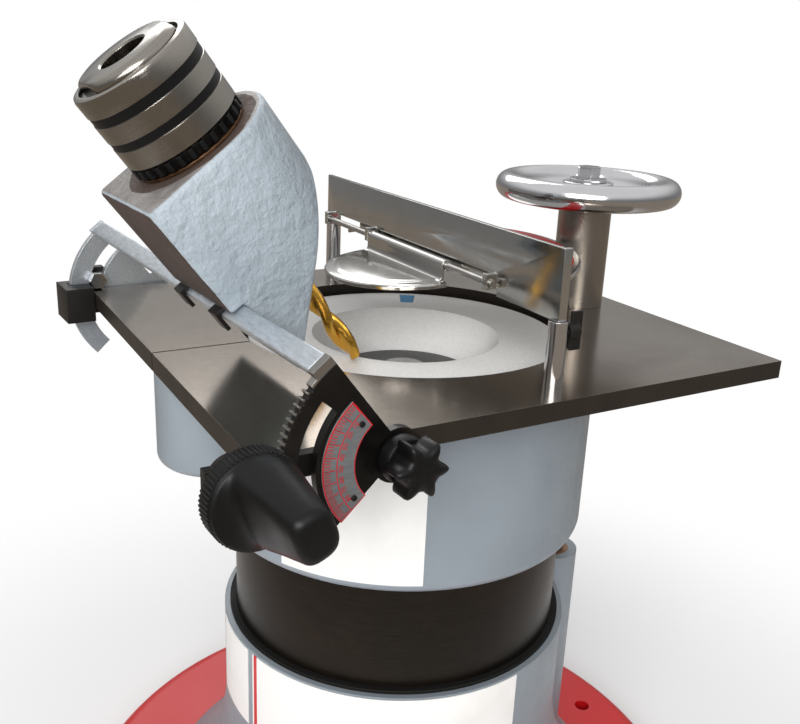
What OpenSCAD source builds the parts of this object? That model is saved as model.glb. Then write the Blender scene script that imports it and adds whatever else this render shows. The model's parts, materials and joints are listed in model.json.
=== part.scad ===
// Planer knife grinder. A white cup wheel runs in the opening of a steel table. A geared guide tilts
// over the table and carries a drill holder. A handwheel lifts the table over the wheel.

/* [Base] */
// Width of the base outside the flared foot
base_margin = 42; // [32:1:60]
// Thickness of the base
base_h = 20; // [14:1:30]
// Rounding of the base's upper edge
base_edge = 9; // [3:0.5:12]
// Radius of a rubber foot
foot_r = 20; // [14:1:26]
// Height of a rubber foot
foot_h = 6; // [4:0.5:10]
// Distance of the feet outside the flared foot
foot_out = 7; // [2:1:15]
// Distance of the bench bolts outside the flared foot
bench_out = 17; // [10:1:20]
// Radius of a bench bolt hole
bench_hole_r = 4.5; // [3:0.1:6]

/* [Lower housing] */
// Height of the rim over the floor
rim_z = 153; // [150:1:165]
// Wall of the housing
house_wall = 6; // [5:0.5:9]
// Height at which the foot starts to flare
flare_z = 106; // [95:1:120]
// Width of the flare
flare_w = 40; // [37:1:41]
// Radius of the hollow in the flare
flare_cove = 105; // [100:1:130]
// Radius of the boss for the lift screw
boss_r = 15; // [13:0.5:18]
// Drop of the boss's top under the rim
boss_drop = 0; // [0:0.5:8]
// Radius of a housing bolt's head
house_bolt_r = 5; // [4:0.5:6]
// Height of the wiper seal
seal_h = 1.6; // [1:0.1:4]
// Width of the wiper seal
seal_w = 3; // [2:0.1:5]

/* [Tube and motor] */
// Room between the wheel and the motor tube
wheel_gap = 2; // [1.5:0.5:4]
// Wall of the motor tube
tube_wall = 5; // [3:0.5:6]
// Lower end of the motor tube
tube_z0 = 30; // [28:1:40]
// Upper end of the motor tube
tube_z1 = 262; // [250:1:266]
// Lower end of the stator
stator_z0 = 110; // [100:1:120]
// Length of the stator
stator_len = 60; // [50:1:70]
// Bore radius of the stator
stator_bore = 40.6; // [38:0.1:44]
// Length of the end windings
winding_len = 17; // [12:1:20]
// Inner radius of the end windings
winding_in = 48; // [45:1:52]
// Room round the end windings
winding_gap = 7; // [4:1:10]
// Thickness of an end shield
shield_t = 10; // [8:0.5:14]
// Upper face of the lower end shield
shield_low_z = 88; // [84:1:90]
// Lower face of the upper end shield
shield_up_z = 196; // [192:1:204]
// Outer radius of a bearing
bearing_r = 21; // [18:0.5:24]
// Width of a bearing
bearing_w = 9; // [7:0.5:9.5]

/* [Wheel and spindle] */
// Radius of the spindle
spindle_r = 10; // [8:0.5:12]
// Lower end of the spindle
spindle_z0 = 72; // [68:1:78]
// Radius of the grinding wheel
wheel_r = 75; // [72:0.5:75.5]
// Height of the grinding wheel
wheel_h = 40; // [36:1:45]
// Drop of the wheel under the table's top
wheel_drop = 5; // [3:0.5:8]
// Inner radius of the wheel's rim
rim_in = 45; // [40:0.5:52]
// Depth of the cup
cup_depth = 23.5; // [20:0.5:28]
// Inner radius at the cup's floor
cup_floor_r = 36; // [34:0.5:40]
// Radius of the wheel flanges
flange_r = 35.5; // [30:0.5:35.5]
// Thickness of a wheel flange
flange_t = 3; // [2.5:0.5:5]
// Radius over the corners of the wheel nut
nut_r = 14; // [12.5:0.5:16]
// Height of the wheel nut
nut_h = 4; // [3.5:0.5:7]

/* [Head] */
// Wall of the head housing
drum_wall = 9; // [7:0.5:12]
// Height of the head housing
drum_h = 85; // [76:1:88]
// Rounding of the head housing's lower edge
drum_edge = 5; // [2:0.5:6]
// Distance of the lobe's axis outside the head housing
lobe_out = 6; // [3:0.5:9]
// Distance of the lobe from the axis, to the front
lobe_y = 3; // [0:0.5:8]
// Radius of the lobe
lobe_r = 25; // [22:0.5:27]
// Height of the lobe
lobe_h = 43; // [38:1:50]
// Wall of the lobe
lobe_wall = 3; // [2:0.5:5]
// Radius of the capacitor
cap_r = 16; // [12:0.5:17]
// Length of the capacitor
cap_len = 36; // [30:1:37]
// Distance of the table lugs outside the head housing
lug_out = 4; // [3:0.5:6]
// Radius of a table lug
lug_r = 8; // [7:0.5:9]
// Height of a table lug
lug_h = 12; // [10:0.5:15]

/* [Table] */
// Height of the table's top over the floor
table_z = 300; // [296:1:306]
// Reach of the table to the left of the guide's axis
table_left = 41.5; // [39:0.5:41.5]
// Reach of the table to the right of the lift screw
table_right = 22.8; // [18:0.1:28]
// Width of the table, front to back
table_w = 230; // [220:1:240]
// Thickness of the table
table_t = 8; // [7.5:0.5:10]
// Room between the wheel and the table
open_gap = 3.8; // [3:0.1:5]
// Width of the slit in the table
slit_w = 1; // [0.6:0.1:2]

/* [Lift] */
// Distance of the lift screw outside the housing
lift_out = 16.7; // [15.5:0.1:19]
// Radius of the lift screw
screw_r = 7; // [6:0.1:7.5]
// Lower end of the lift screw
screw_z0 = 92; // [88:1:100]
// Radius of the lift post
post_r = 13.5; // [12:0.5:15]
// Height of the lift post
post_h = 51; // [46:1:54]
// Outer radius of the handwheel
hand_r = 47; // [44:0.5:50]
// Radius of the handwheel's rim
hand_rim = 6.5; // [4:0.5:7]
// Height of the handwheel's rim over the table
hand_z = 61; // [59:0.5:65]
// Radius of the handwheel's hub
hand_hub = 13; // [11:0.5:15]
// Thickness of the handwheel's dish
hand_dish = 4; // [3:0.5:5]
// Radius over the corners of the handwheel's bolt
hand_bolt_r = 6; // [5.5:0.5:8]
// Height of the handwheel bolt's head
hand_bolt_h = 6; // [5:0.5:8]
// Drop of the handwheel's hub under its rim
hub_drop = 3.2; // [2:0.1:5]

/* [Guide] */
// Distance of the guide's axis outside the wheel opening
guide_out = 2.2; // [1:0.1:5]
// Depth of the guide's axis under the table's top
guide_drop = 4.5; // [4:0.1:4.5]
// Turn of the guide's axis about the vertical
guide_skew = 3.3; // [0:0.1:4]
// Slope of the guide over the table
guide_tilt = 52; // [48:1:56]
// Distance of the front ear outside the table
ear_gap_front = 5.5; // [5:0.1:7]
// Distance of the rear ear outside the table
ear_gap_rear = 2.8; // [2.8:0.1:4]
// Thickness of the ears
ear_t = 3.5; // [2.5:0.1:4]
// Outer distance of the web from the guide's axis
web_out = 47; // [46:0.1:48]
// Thickness of the web
web_t = 3; // [2:0.1:4]
// Height of the web over the axis plane
web_up = 3.2; // [2.5:0.1:3.4]
// Depth of the web under the axis plane
web_down = 4.8; // [4:0.1:6]
// Radius of the ears' hubs
ear_hub = 10; // [8:0.5:11]
// Radius of the pivot pins
pivot_r = 3; // [2.5:0.1:3]
// Inner radius of the sector's slot
relief_in = 31; // [30:0.5:33]
// Outer radius of the sector's slot
relief_out = 38; // [36:0.5:40]
// Outer radius of the rear quadrant
quad_r = 45.3; // [44:0.1:46]
// Inner radius of the clamp slot
slot_in = 29.8; // [29:0.1:30]
// Outer radius of the clamp slot
slot_out = 36; // [35.6:0.1:37]
// Inner radius of the scale
scale_in = 17; // [15:0.5:19]
// Outer radius of the scale
scale_out = 29.2; // [27:0.1:30]
// Thickness of the scale
scale_t = 0.6; // [0.4:0.1:1]

/* [Gears] */
// Module of the gears
gear_m = 0.8; // [0.8:0.1:0.8]
// Teeth on a full circle of the sector
sector_n = 110; // [110:1:110]
// Teeth of the pinion
pinion_n = 28; // [28:1:28]
// Play of a tooth on each side
tooth_play = 0.16; // [0.14:0.01:0.2]

/* [Knobs] */
// Radius of the pinion shaft
shaft_r = 4; // [3:0.1:5]
// Radius of the wing knob's skirt
wing_r = 17.5; // [16:0.5:19]
// Length of the wing knob's skirt
wing_skirt = 12; // [10:0.5:14]
// Radius of the wing knob's face
wing_face = 15; // [12:0.1:15.5]
// Length of the wing knob's taper
wing_taper = 3; // [2:0.5:6]
// Length of the wing grip
wing_len = 24; // [14:0.5:26]
// Thickness of the wing grip
wing_t = 12.5; // [7:0.5:14]
// Radius of the star knob's collar
star_collar = 8.5; // [7:0.5:9]
// Length of the star knob's collar
star_collar_len = 3.5; // [2:0.5:5]
// Radius of the star knob's body
star_r = 7.6; // [7:0.1:8.5]
// Radius of a lobe of the star knob
star_lobe = 3; // [2:0.1:3.5]
// Length of the star knob's head
star_len = 8; // [6:0.5:10]

/* [Rear clamp] */
// Width of the rear clamp block
block_w = 12.5; // [11:0.5:13]
// Height of the rear clamp block
block_h = 17.5; // [15:0.5:19]
// Length of the rear clamp block
block_len = 11; // [9:0.5:13]
// Thickness of the plate behind the quadrant
block_plate = 5; // [4:0.5:6]
// Radius of the clamp bolt
clamp_r = 2.9; // [2.5:0.1:2.9]
// Radius over the corners of the clamp bolt's head
clamp_head = 4.4; // [4:0.1:4.4]
// Length of the clamp bolt's head
clamp_head_len = 4.5; // [3.5:0.5:5]

/* [Holder] */
// Distance of the holder from the middle of the guide, to the front
holder_y = 31; // [27:0.5:33]
// Radius of the holder's boss
holder_r = 29; // [28:0.5:30]
// Rise of the boss's round back over the drill's axis
holder_off = 2; // [1:0.1:3]
// Height of the drill's axis over the guide's axis
drill_n = 31; // [30:0.1:32]
// Depth of the holder's flat underside
holder_flat = 2.8; // [2:0.1:2.8]
// Upper face of the holder
holder_top = 95.2; // [94:0.1:96]
// Reach of the holder to the right of the guide's axis
holder_reach = 8; // [6:0.5:10]
// Inward slope of the holder's right side down to its lower face
holder_slope = 11.5; // [9:0.5:13]
// Rounding of the holder's upper corner
holder_round = 16; // [12:0.5:20]
// Height of the holder's lower face over the guide's axis
holder_low = 8.5; // [8:0.5:12]
// Radius of the bush's bore
bush_bore = 18; // [17:0.1:18.5]
// Wall of the bush
bush_wall = 3; // [2:0.1:4]
// Width of a clamp clip
clip_w = 7; // [5:0.5:9]
// Spacing of the clamp clips
clip_gap = 36; // [30:1:40]

/* [Chuck] */
// Radius of the chuck's sleeve
chuck_r = 23.5; // [23:0.1:25]
// Length of the chuck's toothed ring
ring_len = 4; // [3:0.1:5]
// Teeth of the chuck's ring
ring_n = 26; // [20:1:30]
// Rear end of the chuck
chuck_end = 131; // [129:0.5:133]
// Radius of the drill
drill_r = 4.4; // [4:0.1:4.6]
// Tip of the drill under the guide's axis
drill_tip = 22.4; // [22:0.1:22.6]

/* [Guard] */
// Distance of the guard posts to the right of the axis
guard_x = 10.4; // [10:0.1:11]
// Radius of a guard post
guard_post_r = 4; // [3.5:0.1:4.5]
// Top of the guard's foot over the table
guard_foot = 27; // [24:0.5:30]
// Length of the guard posts under the table's top
guard_tail = 12; // [11:0.5:12]
// Distance of the front guard post from the table's edge
guard_edge = 15.5; // [14:0.1:17]
// Distance of the rear guard post from the table's edge
guard_back = 12.2; // [10:0.1:15]
// Length of the guard plate past its front post's axis
guard_end = 2.3; // [1.5:0.1:3]
// Width of the guard plate's folded front end
guard_fold = 4; // [3:0.1:5]
// Rear end of the guard plate's low tab in front of the axis
guard_tab = 60; // [56:0.5:64]
// Lower edge of the guard plate over the table
guard_z0 = 36; // [35.5:0.1:37]
// Upper edge of the guard plate over the table
guard_z1 = 56; // [54.5:0.1:58]
// Thickness of the guard plate
guard_t = 2; // [1.5:0.1:2]
// Height of the hinge rod over the table
rod_z = 33; // [32.5:0.1:33]
// Radius of a hinge rod
rod_r = 1.5; // [1:0.1:1.6]
// Radius of a hinge barrel
barrel_r = 2.7; // [2.4:0.1:2.8]
// Radius of the half-round flap
flap_r = 38.5; // [36:0.5:40]
// Middle of the half-round flap behind the axis
flap_y = 11; // [9:0.5:13]
// Drop of the half-round flap's sheet
flap_tilt = 3; // [0:0.5:8]
// Step from the hinge down to the flap's sheet
flap_drop = 7; // [5:0.5:9]
// Length of the flap's barrel
flap_len = 72; // [60:1:74]
// Depth of the flap's lip
flap_lip = 2.4; // [2:0.1:4]
// Thickness of a flap's sheet
flap_t = 1.2; // [1:0.1:1.5]
// Radius of the red half-round cover
red_r = 77.2; // [74:0.2:77.4]
// Middle of the red cover behind the axis
red_y = 9; // [8:0.5:11]
// Height of the red cover over the table
red_z = 29.5; // [28:0.1:31]
// Rise of the red cover to the right in degrees
red_tilt = 4; // [0:0.5:5]
// Height of the red cover's fold on the guard plate
red_fold = 12; // [10:0.5:14]

/* [Switch] */
// Half width of the switch box
box_w = 28; // [24:1:32]
// Rear face of the switch box
box_y = 122; // [118:1:126]
// Lower face of the switch box
box_z0 = 110; // [108:1:114]
// Height of the switch box
box_h = 40; // [36:1:42]

/* [Hidden] */
$fn = 96;
// play of a running fit and of a fixed seat, gap of pieces that don't touch, overcut of a cut
fit = 0.05;
gap = 0.3;
cut = 1;
far = 400;
label_t = 0.4;
base_z = foot_h;
tube_in = wheel_r + wheel_gap;
tube_r = tube_in + tube_wall;
winding_out = tube_in - winding_gap;
house_r = tube_r + house_wall;
drum_r = tube_r + drum_wall;
flare_r = house_r + flare_w;
base_r = flare_r + base_margin;
foot_at = flare_r + foot_out;
bench_pcd = 2 * (flare_r + bench_out);
lobe_x = drum_r + lobe_out;
lug_at = drum_r + lug_out;
open_r = wheel_r + open_gap;
lift_x = house_r + lift_out;
guide_x = open_r + guide_out;
table_x0 = -guide_x - table_left;
table_l = lift_x + table_right - table_x0;
ear_front = table_w / 2 + ear_gap_front;
ear_rear = table_w / 2 + ear_gap_rear;
guard_front = table_w / 2 - guard_edge;
guard_rear = table_w / 2 - guard_back;
guard_y0 = -guard_front - guard_end;
block_x = (table_w / 2 - block_len) * sin(guide_skew) - table_left * cos(guide_skew) - gap - block_w;
base_top = foot_h + base_h;
bore_r = tube_r + fit;
shell = tube_in - fit;
boss_top = rim_z - boss_drop;
nut_out = screw_r + bush_wall;
drum_top = table_z - table_t;
drum_bottom = drum_top - drum_h;
lobe_bottom = drum_top - lobe_h;
wheel_top = table_z - wheel_drop;
wheel_bottom = wheel_top - wheel_h;
cup_floor = wheel_top - cup_depth;
nut_z = cup_floor + flange_t;
spindle_z1 = nut_z + nut_h + gap;
web_in = web_out - web_t;
ear_right = web_up;
sector_r = gear_m * sector_n / 2;
pinion_r = gear_m * pinion_n / 2;
gear_c = sector_r + pinion_r;
tooth_up = 0.8 * gear_m;
tooth_down = 1.25 * gear_m;
tooth_half = gear_m * 3.14159 / 4 - tooth_play;
pinion_y = ear_front + ear_t + gap;
scale_y = ear_front + ear_t;
clamp_at = (slot_in + slot_out) / 2;
clamp_x = clamp_at * cos(16);
clamp_z = clamp_at * sin(16);
plate_y = ear_rear + ear_t + gap;
hand_top = table_z + hand_z;
lift_top = table_z + post_h;
screw_head = lift_top + gap;
hub_h = hand_z - post_h + hand_rim - gap - hub_drop;
hub_top = screw_head + hub_h;
ring_u = holder_top + bush_wall / 2;
chuck_n = drill_n;
sleeve_in = chuck_r - bush_wall;
rod_x = guard_x - guard_t - barrel_r - gap;
guard_lug = -guard_tab;
rod_y1 = guard_rear - guard_post_r - gap;
m3 = 1.5;
m5 = 2.5;
m6 = 3;

BASE_RED = [0.70, 0.06, 0.06];
GREY = [0.62, 0.64, 0.66];
STEEL = [0.70, 0.70, 0.72];
DARK = [0.12, 0.11, 0.10];
CHROME = [0.85, 0.86, 0.88];
WHITE = [0.93, 0.93, 0.92];
BRONZE = [0.65, 0.47, 0.22];
GOLD = [0.83, 0.66, 0.24];

// A plain tube standing on z0
module tube(r, ri, z0, z1) {
  translate([0, 0, z0]) difference() {
    cylinder(r = r, h = z1 - z0);
    translate([0, 0, -cut]) cylinder(r = ri, h = z1 - z0 + 2 * cut);
  }
}

// A thin curved sheet on a drum, between two angles
module sheet(r, t, a0, a1, z0, z1) {
  translate([0, 0, z0]) rotate([0, 0, a0]) rotate_extrude(angle = a1 - a0)
    translate([r, 0]) square([t, z1 - z0]);
}

// The frame of the guide's axis: y along the axis, to the rear
module guide() translate([-guide_x, 0, table_z - guide_drop]) rotate([0, 0, guide_skew]) children();

// The tilted frame: x down the slope, z square to it
module tilted() guide() rotate([0, guide_tilt, 0]) children();

// A flat shape of the x and z plane, from y0 forwards by t
module plate(y0, t) translate([0, y0, 0]) rotate([90, 0, 0]) linear_extrude(t) children();

// A rod along y, from y0 to the rear by len
module rod(r, y0, len) translate([0, y0, 0]) rotate([-90, 0, 0]) cylinder(r = r, h = len);

// A wedge of the plane between two angles past the web's direction
module wedge(a0, a1, r) {
  m = (a0 + a1) / 2;
  polygon([[0, 0], [-r * cos(a0), -r * sin(a0)], [-r * cos(m), -r * sin(m)], [-r * cos(a1), -r * sin(a1)]]);
}

// A flat ring part between two angles past the web's direction
module ring_part(ri, ro, a0, a1) {
  intersection() {
    difference() {
      circle(r = ro);
      circle(r = ri);
    }
    wedge(a0, a1, 2 * ro);
  }
}

// One gear tooth on the x axis
module tooth(r) {
  polygon([[r - tooth_down - gap, -tooth_half - tooth_play * 2], [r - tooth_down - gap, tooth_half + tooth_play * 2],
    [r, tooth_half], [r + tooth_up, tooth_half * 0.5], [r + tooth_up, -tooth_half * 0.5], [r, -tooth_half]]);
}

// The space between two teeth of a gear with n teeth, on the x axis
module tooth_gap(r, n) {
  p = 3.14159 / n;
  root = (r - tooth_down) * p - tooth_half - tooth_play * 2;
  mid = r * p - tooth_half;
  tip = (r + tooth_up) * p - tooth_half * 0.5;
  polygon([[r - tooth_down, -root], [r - tooth_down, root], [r, mid], [r + tooth_up, tip], [r + tooth_up + cut, tip],
    [r + tooth_up + cut, -tip], [r + tooth_up, -tip], [r, -mid]]);
}

// The drill's frame: z up along the drill's axis, x along the slope's normal
module drill_axis() tilted() translate([0, -holder_y, drill_n]) rotate([0, -90, 0]) children();

module base_plate() color(BASE_RED) difference() {
  translate([0, 0, base_z]) rotate_extrude() {
    square([base_r, base_h - base_edge]);
    square([base_r - base_edge, base_h]);
    translate([base_r - base_edge, base_h - base_edge]) circle(r = base_edge);
  }
  translate([0, 0, -cut]) cylinder(r = tube_in, h = far);
  for (a = [0:90:270]) rotate([0, 0, a]) translate([bench_pcd / 2, 0, -cut]) cylinder(r = bench_hole_r, h = far);
  for (a = [22.5:45:360]) rotate([0, 0, a]) translate([flare_r - 2 * house_bolt_r, 0, base_z + m6])
    cylinder(r = m3 + fit, h = far);
}

module rubber_feet() color(DARK) for (a = [45:90:315]) rotate([0, 0, a]) translate([foot_at, 0, 0])
  cylinder(r = foot_r, h = foot_h);

module lower_housing() color(GREY) difference() {
  union() {
    rotate_extrude() difference() {
      union() {
        square([house_r, rim_z]);
        square([flare_r, flare_z]);
      }
      translate([house_r + flare_cove, flare_z]) circle(r = flare_cove);
    }
    translate([lift_x, 0, base_top]) cylinder(r = boss_r, h = boss_top - base_top);
    translate([tube_r + bush_wall, -boss_r * 0.8, base_top]) cube([lift_x - tube_r - bush_wall, boss_r * 1.6, boss_top - base_top]);
  }
  translate([0, 0, -cut]) cylinder(r = far, h = base_top + cut);
  cylinder(r = bore_r, h = far);
  translate([lift_x, 0, screw_z0 - boss_r / 2]) cylinder(r = screw_r + 2 * gap, h = far);
  translate([lift_x, 0, boss_top - boss_r * 2]) cylinder(r = nut_out + fit, h = far);
  for (a = [22.5:45:360]) rotate([0, 0, a]) translate([flare_r - 2 * house_bolt_r, 0, 0]) {
    cylinder(r = m3 + fit, h = far);
    translate([0, 0, base_top + house_bolt_r]) cylinder(r = house_bolt_r + gap, h = far);
  }
}

module housing_bolts() color(STEEL) for (a = [22.5:45:360]) rotate([0, 0, a])
  translate([flare_r - 2 * house_bolt_r, 0, base_z + m6]) difference() {
    union() {
      cylinder(r = m3, h = base_h - m6 + house_bolt_r + fit);
      translate([0, 0, base_h - m6 + house_bolt_r]) cylinder(r = house_bolt_r, h = house_bolt_r);
    }
    translate([0, 0, base_h - m6 + 1.5 * house_bolt_r]) cylinder(r = m5, h = far, $fn = 6);
  }

module wiper_seal() color(DARK) tube(tube_r + gap + seal_w, tube_r + fit, rim_z, rim_z + seal_h);

module motor_tube() color(DARK) tube(tube_r, tube_in, tube_z0, tube_z1);

module stator() color(STEEL) tube(shell, stator_bore, stator_z0, stator_z0 + stator_len);

module stator_windings() color(BRONZE) {
  tube(winding_out, winding_in, stator_z0 - winding_len, stator_z0);
  tube(winding_out, winding_in, stator_z0 + stator_len, stator_z0 + stator_len + winding_len);
}

module lower_end_shield() color(GREY) difference() {
  translate([0, 0, shield_low_z - shield_t]) cylinder(r = shell, h = shield_t);
  translate([0, 0, shield_low_z - bearing_w]) cylinder(r = bearing_r + fit, h = far);
  cylinder(r = spindle_r + gap, h = far);
}

module upper_end_shield() color(GREY) difference() {
  translate([0, 0, shield_up_z]) cylinder(r = shell, h = shield_t);
  translate([0, 0, shield_up_z + bearing_w - far]) cylinder(r = bearing_r + fit, h = far);
  cylinder(r = spindle_r + gap, h = far);
}

module lower_bearing() color(STEEL) tube(bearing_r, spindle_r + fit, shield_low_z - bearing_w, shield_low_z);

module upper_bearing() color(STEEL) tube(bearing_r, spindle_r + fit, shield_up_z, shield_up_z + bearing_w);

module lift_nut() color(BRONZE) translate([lift_x, 0, 0])
  tube(nut_out, screw_r + fit, boss_top - 2 * boss_r, boss_top);

module front_label() color(WHITE) sheet(house_r + fit, label_t, 192, 281, flare_z + 4 * cut, rim_z - cut);

module side_label() color(WHITE) sheet(house_r + fit, label_t, 168, 189.3, flare_z + 4 * cut, rim_z - cut);

module switch_box() color(DARK) difference() {
  translate([-box_w, 0, box_z0]) cube([2 * box_w, box_y, box_h]);
  cylinder(r = house_r + fit, h = far);
  translate([-box_w + bush_wall, 0, box_z0 + bush_wall]) cube([2 * (box_w - bush_wall), box_y - bush_wall, box_h - 2 * bush_wall]);
  translate([-box_w / 2, 0, box_z0 + box_h / 2 - box_w / 3]) cube([box_w, far, box_w * 2 / 3]);
  translate([box_w * 0.75, box_y - box_w / 3, box_z0 - cut]) cylinder(r = m5 + fit, h = far / 20);
}

module cable_gland() color(DARK) translate([box_w * 0.75, box_y - box_w / 3, box_z0]) {
  translate([0, 0, -box_w / 2]) cylinder(r = m5 * 2, h = box_w / 2);
  cylinder(r = m5, h = bush_wall * 2);
}

module spindle_shaft() color(STEEL) {
  translate([0, 0, spindle_z0]) cylinder(r = spindle_r, h = spindle_z1 - spindle_z0);
  translate([0, 0, wheel_bottom - flange_t - bush_wall]) cylinder(r = spindle_r + bush_wall, h = bush_wall);
}

module rotor_core() color(STEEL) tube(stator_bore - 2 * gap, spindle_r + fit, stator_z0, stator_z0 + stator_len);

module wheel_flange() color(STEEL) {
  tube(flange_r, spindle_r + fit, wheel_bottom - flange_t, wheel_bottom);
  tube(flange_r, spindle_r + fit, cup_floor, nut_z);
}

module grinding_wheel() color(WHITE) difference() {
  translate([0, 0, wheel_bottom]) cylinder(r = wheel_r, h = wheel_h);
  translate([0, 0, cup_floor]) cylinder(r1 = cup_floor_r, r2 = rim_in, h = cup_depth);
  cylinder(r = spindle_r + fit, h = far);
}

module wheel_nut() color(STEEL) translate([0, 0, nut_z]) difference() {
  cylinder(r = nut_r, h = nut_h, $fn = 6);
  translate([0, 0, -cut]) cylinder(r = spindle_r + fit, h = far);
}

module head_housing() color(GREY) difference() {
  union() {
    translate([0, 0, drum_bottom]) rotate_extrude() {
      square([drum_r - drum_edge, drum_h]);
      translate([0, drum_edge]) square([drum_r, drum_h - drum_edge]);
      translate([drum_r - drum_edge, drum_edge]) circle(r = drum_edge);
    }
    translate([-lobe_x, -lobe_y, lobe_bottom]) rotate_extrude() {
      square([lobe_r - drum_edge, lobe_h]);
      translate([0, drum_edge]) square([lobe_r, lobe_h - drum_edge]);
      translate([lobe_r - drum_edge, drum_edge]) circle(r = drum_edge);
    }
    for (a = [30, 100, 150, 225]) rotate([0, 0, a]) translate([lug_at, 0, drum_top - lug_h])
      cylinder(r = lug_r, h = lug_h);
  }
  cylinder(r = bore_r, h = far);
  difference() {
    translate([-lobe_x, -lobe_y, lobe_bottom + lobe_wall]) cylinder(r = lobe_r - lobe_wall, h = far);
    cylinder(r = drum_r - lobe_wall, h = far);
  }
  for (a = [30, 100, 150, 225]) rotate([0, 0, a]) translate([lug_at + m3, 0, drum_top - lug_h - cut])
    cylinder(r = m5 + fit, h = far);
}

module capacitor() color(CHROME) translate([-lobe_x - m5, -lobe_y, lobe_bottom + lobe_wall]) intersection() {
  cylinder(r = cap_r, h = cap_len);
  difference() {
    cylinder(r = far, h = far);
    translate([lobe_x + m5, lobe_y, -cut]) cylinder(r = drum_r + gap, h = far);
  }
}

module rating_plate() color(WHITE) sheet(drum_r + fit, label_t, 207, 247, drum_bottom + drum_edge, drum_bottom + 11 * drum_edge);

module table_plate() color(STEEL) difference() {
  translate([table_x0, -table_w / 2, drum_top]) cube([table_l, table_w, table_t]);
  cylinder(r = open_r, h = far);
  translate([-far, -slit_w / 2, 0]) cube([far, slit_w, far]);
  translate([lift_x, 0, 0]) cylinder(r = screw_r + fit, h = far);
  for (y = [-guard_front, guard_rear]) translate([guard_x, y, 0]) cylinder(r = guard_post_r + fit, h = far);
  for (a = [30, 100, 150, 225]) rotate([0, 0, a]) translate([lug_at + m3, 0, 0])
    cylinder(r = m5 + fit, h = table_z - m3);
  guide() {
    rod(pivot_r + fit, -ear_front, ear_front / 8);
    rod(pivot_r + fit, ear_rear * 7 / 8, ear_rear / 8);
  }
}

module table_screws() color(STEEL) for (a = [30, 100, 150, 225]) rotate([0, 0, a]) translate([lug_at + m3, 0, 0]) {
  translate([0, 0, drum_top - lug_h]) cylinder(r = m5, h = lug_h + table_t - m5);
  translate([0, 0, drum_top - lug_h - m5]) cylinder(r = 2 * m5, h = m5, $fn = 6);
}

module lift_post() color(STEEL) translate([lift_x, 0, 0]) tube(post_r, screw_r + fit, table_z, lift_top);

module pinion_bracket() color(DARK) difference() {
  union() {
    translate([-guide_x - gear_c - lobe_wall, -table_w / 2 - tube_wall * 0.85, drum_top])
      cube([gear_c + ear_hub + lobe_wall, tube_wall * 0.85, table_t]);
    intersection() {
      guide() translate([-gear_c, 0, 0]) rod(lug_r, -ear_front + gap, lug_r);
      translate([-far, -table_w / 2 - far, 0]) cube([far, far, far]);
    }
    intersection() {
      guide() rod(table_t / 2 - guide_drop / 9, -ear_front + gap, lug_r);
      translate([-far, -table_w / 2 - far, 0]) cube([far, far, far]);
    }
  }
  guide() {
    translate([-gear_c, 0, 0]) rod(shaft_r + fit, -far, far * 2);
    rod(pivot_r + fit, -far, far * 2);
  }
}

module rear_bracket() color(DARK) guide() difference() {
  union() {
    translate([block_x, ear_rear - gap - block_len, -block_h * 0.58]) cube([block_w, block_len, block_h]);
    translate([block_x - m3, ear_rear - gap - block_len, -block_h * 0.58])
      cube([m3 - block_x - quad_r - gap, block_len + ear_t + block_plate + 2 * gap, block_h]);
    translate([block_x - m3, plate_y, -block_h * 0.58]) cube([block_w + block_h, block_plate, block_h]);
    translate([-clamp_x - clamp_head - cut, plate_y, -block_h * 0.3])
      cube([2 * (clamp_head + cut), block_plate, clamp_z + clamp_head + cut + block_h * 0.3]);
  }
  translate([-clamp_x, 0, clamp_z]) rod(clamp_r + fit, 0, far);
}

module rear_pivot_pin() color(STEEL) guide() {
  rod(pivot_r, ear_rear * 7 / 8 + gap, ear_rear / 8 + ear_t + gap);
  rod(2 * pivot_r, plate_y, pivot_r);
}

module guard_posts() color(CHROME) difference() {
  for (p = [[-guard_front, guard_foot], [guard_rear, guard_z0]]) translate([guard_x, p[0], table_z - guard_tail])
    cylinder(r = guard_post_r, h = guard_tail + p[1]);
  translate([guard_x + cut, -guard_front, table_z + guard_foot - 2 * m5]) rotate([0, 90, 0]) cylinder(r = m3 + fit, h = far);
}

module lift_screw() color(STEEL) translate([lift_x, 0, 0]) {
  translate([0, 0, screw_z0]) cylinder(r = screw_r, h = hub_top - screw_z0 - m5);
  translate([0, 0, drum_top - gap - m5]) cylinder(r = screw_r * 1.5, h = m5);
}

module handwheel() color(CHROME) translate([lift_x, 0, 0]) difference() {
  union() {
    rotate_extrude() translate([hand_r - hand_rim, hand_top]) circle(r = hand_rim);
    translate([0, 0, screw_head]) cylinder(r = hand_hub, h = hub_h);
    rotate_extrude() polygon([[hand_hub - cut, screw_head + cut], [hand_hub - cut, screw_head + cut + hand_dish],
      [hand_r * 0.6, screw_head + hand_dish], [hand_r - hand_rim, hand_top + hand_dish / 2],
      [hand_r - hand_rim, hand_top - hand_dish / 2], [hand_r * 0.62, screw_head]]);
  }
  cylinder(r = screw_r + fit, h = far);
}

module handwheel_bolt() color(CHROME) translate([lift_x, 0, hub_top]) {
  cylinder(r = hand_hub * 0.72, h = m3);
  translate([0, 0, m3]) cylinder(r = hand_bolt_r, h = hand_bolt_h, $fn = 6);
  translate([0, 0, -m5 + fit]) cylinder(r = screw_r - gap, h = m5);
}

module guide_web() color(STEEL) tilted() translate([-web_out, -ear_front, -web_down])
  cube([web_t, ear_front + ear_rear, web_up + web_down]);

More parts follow.
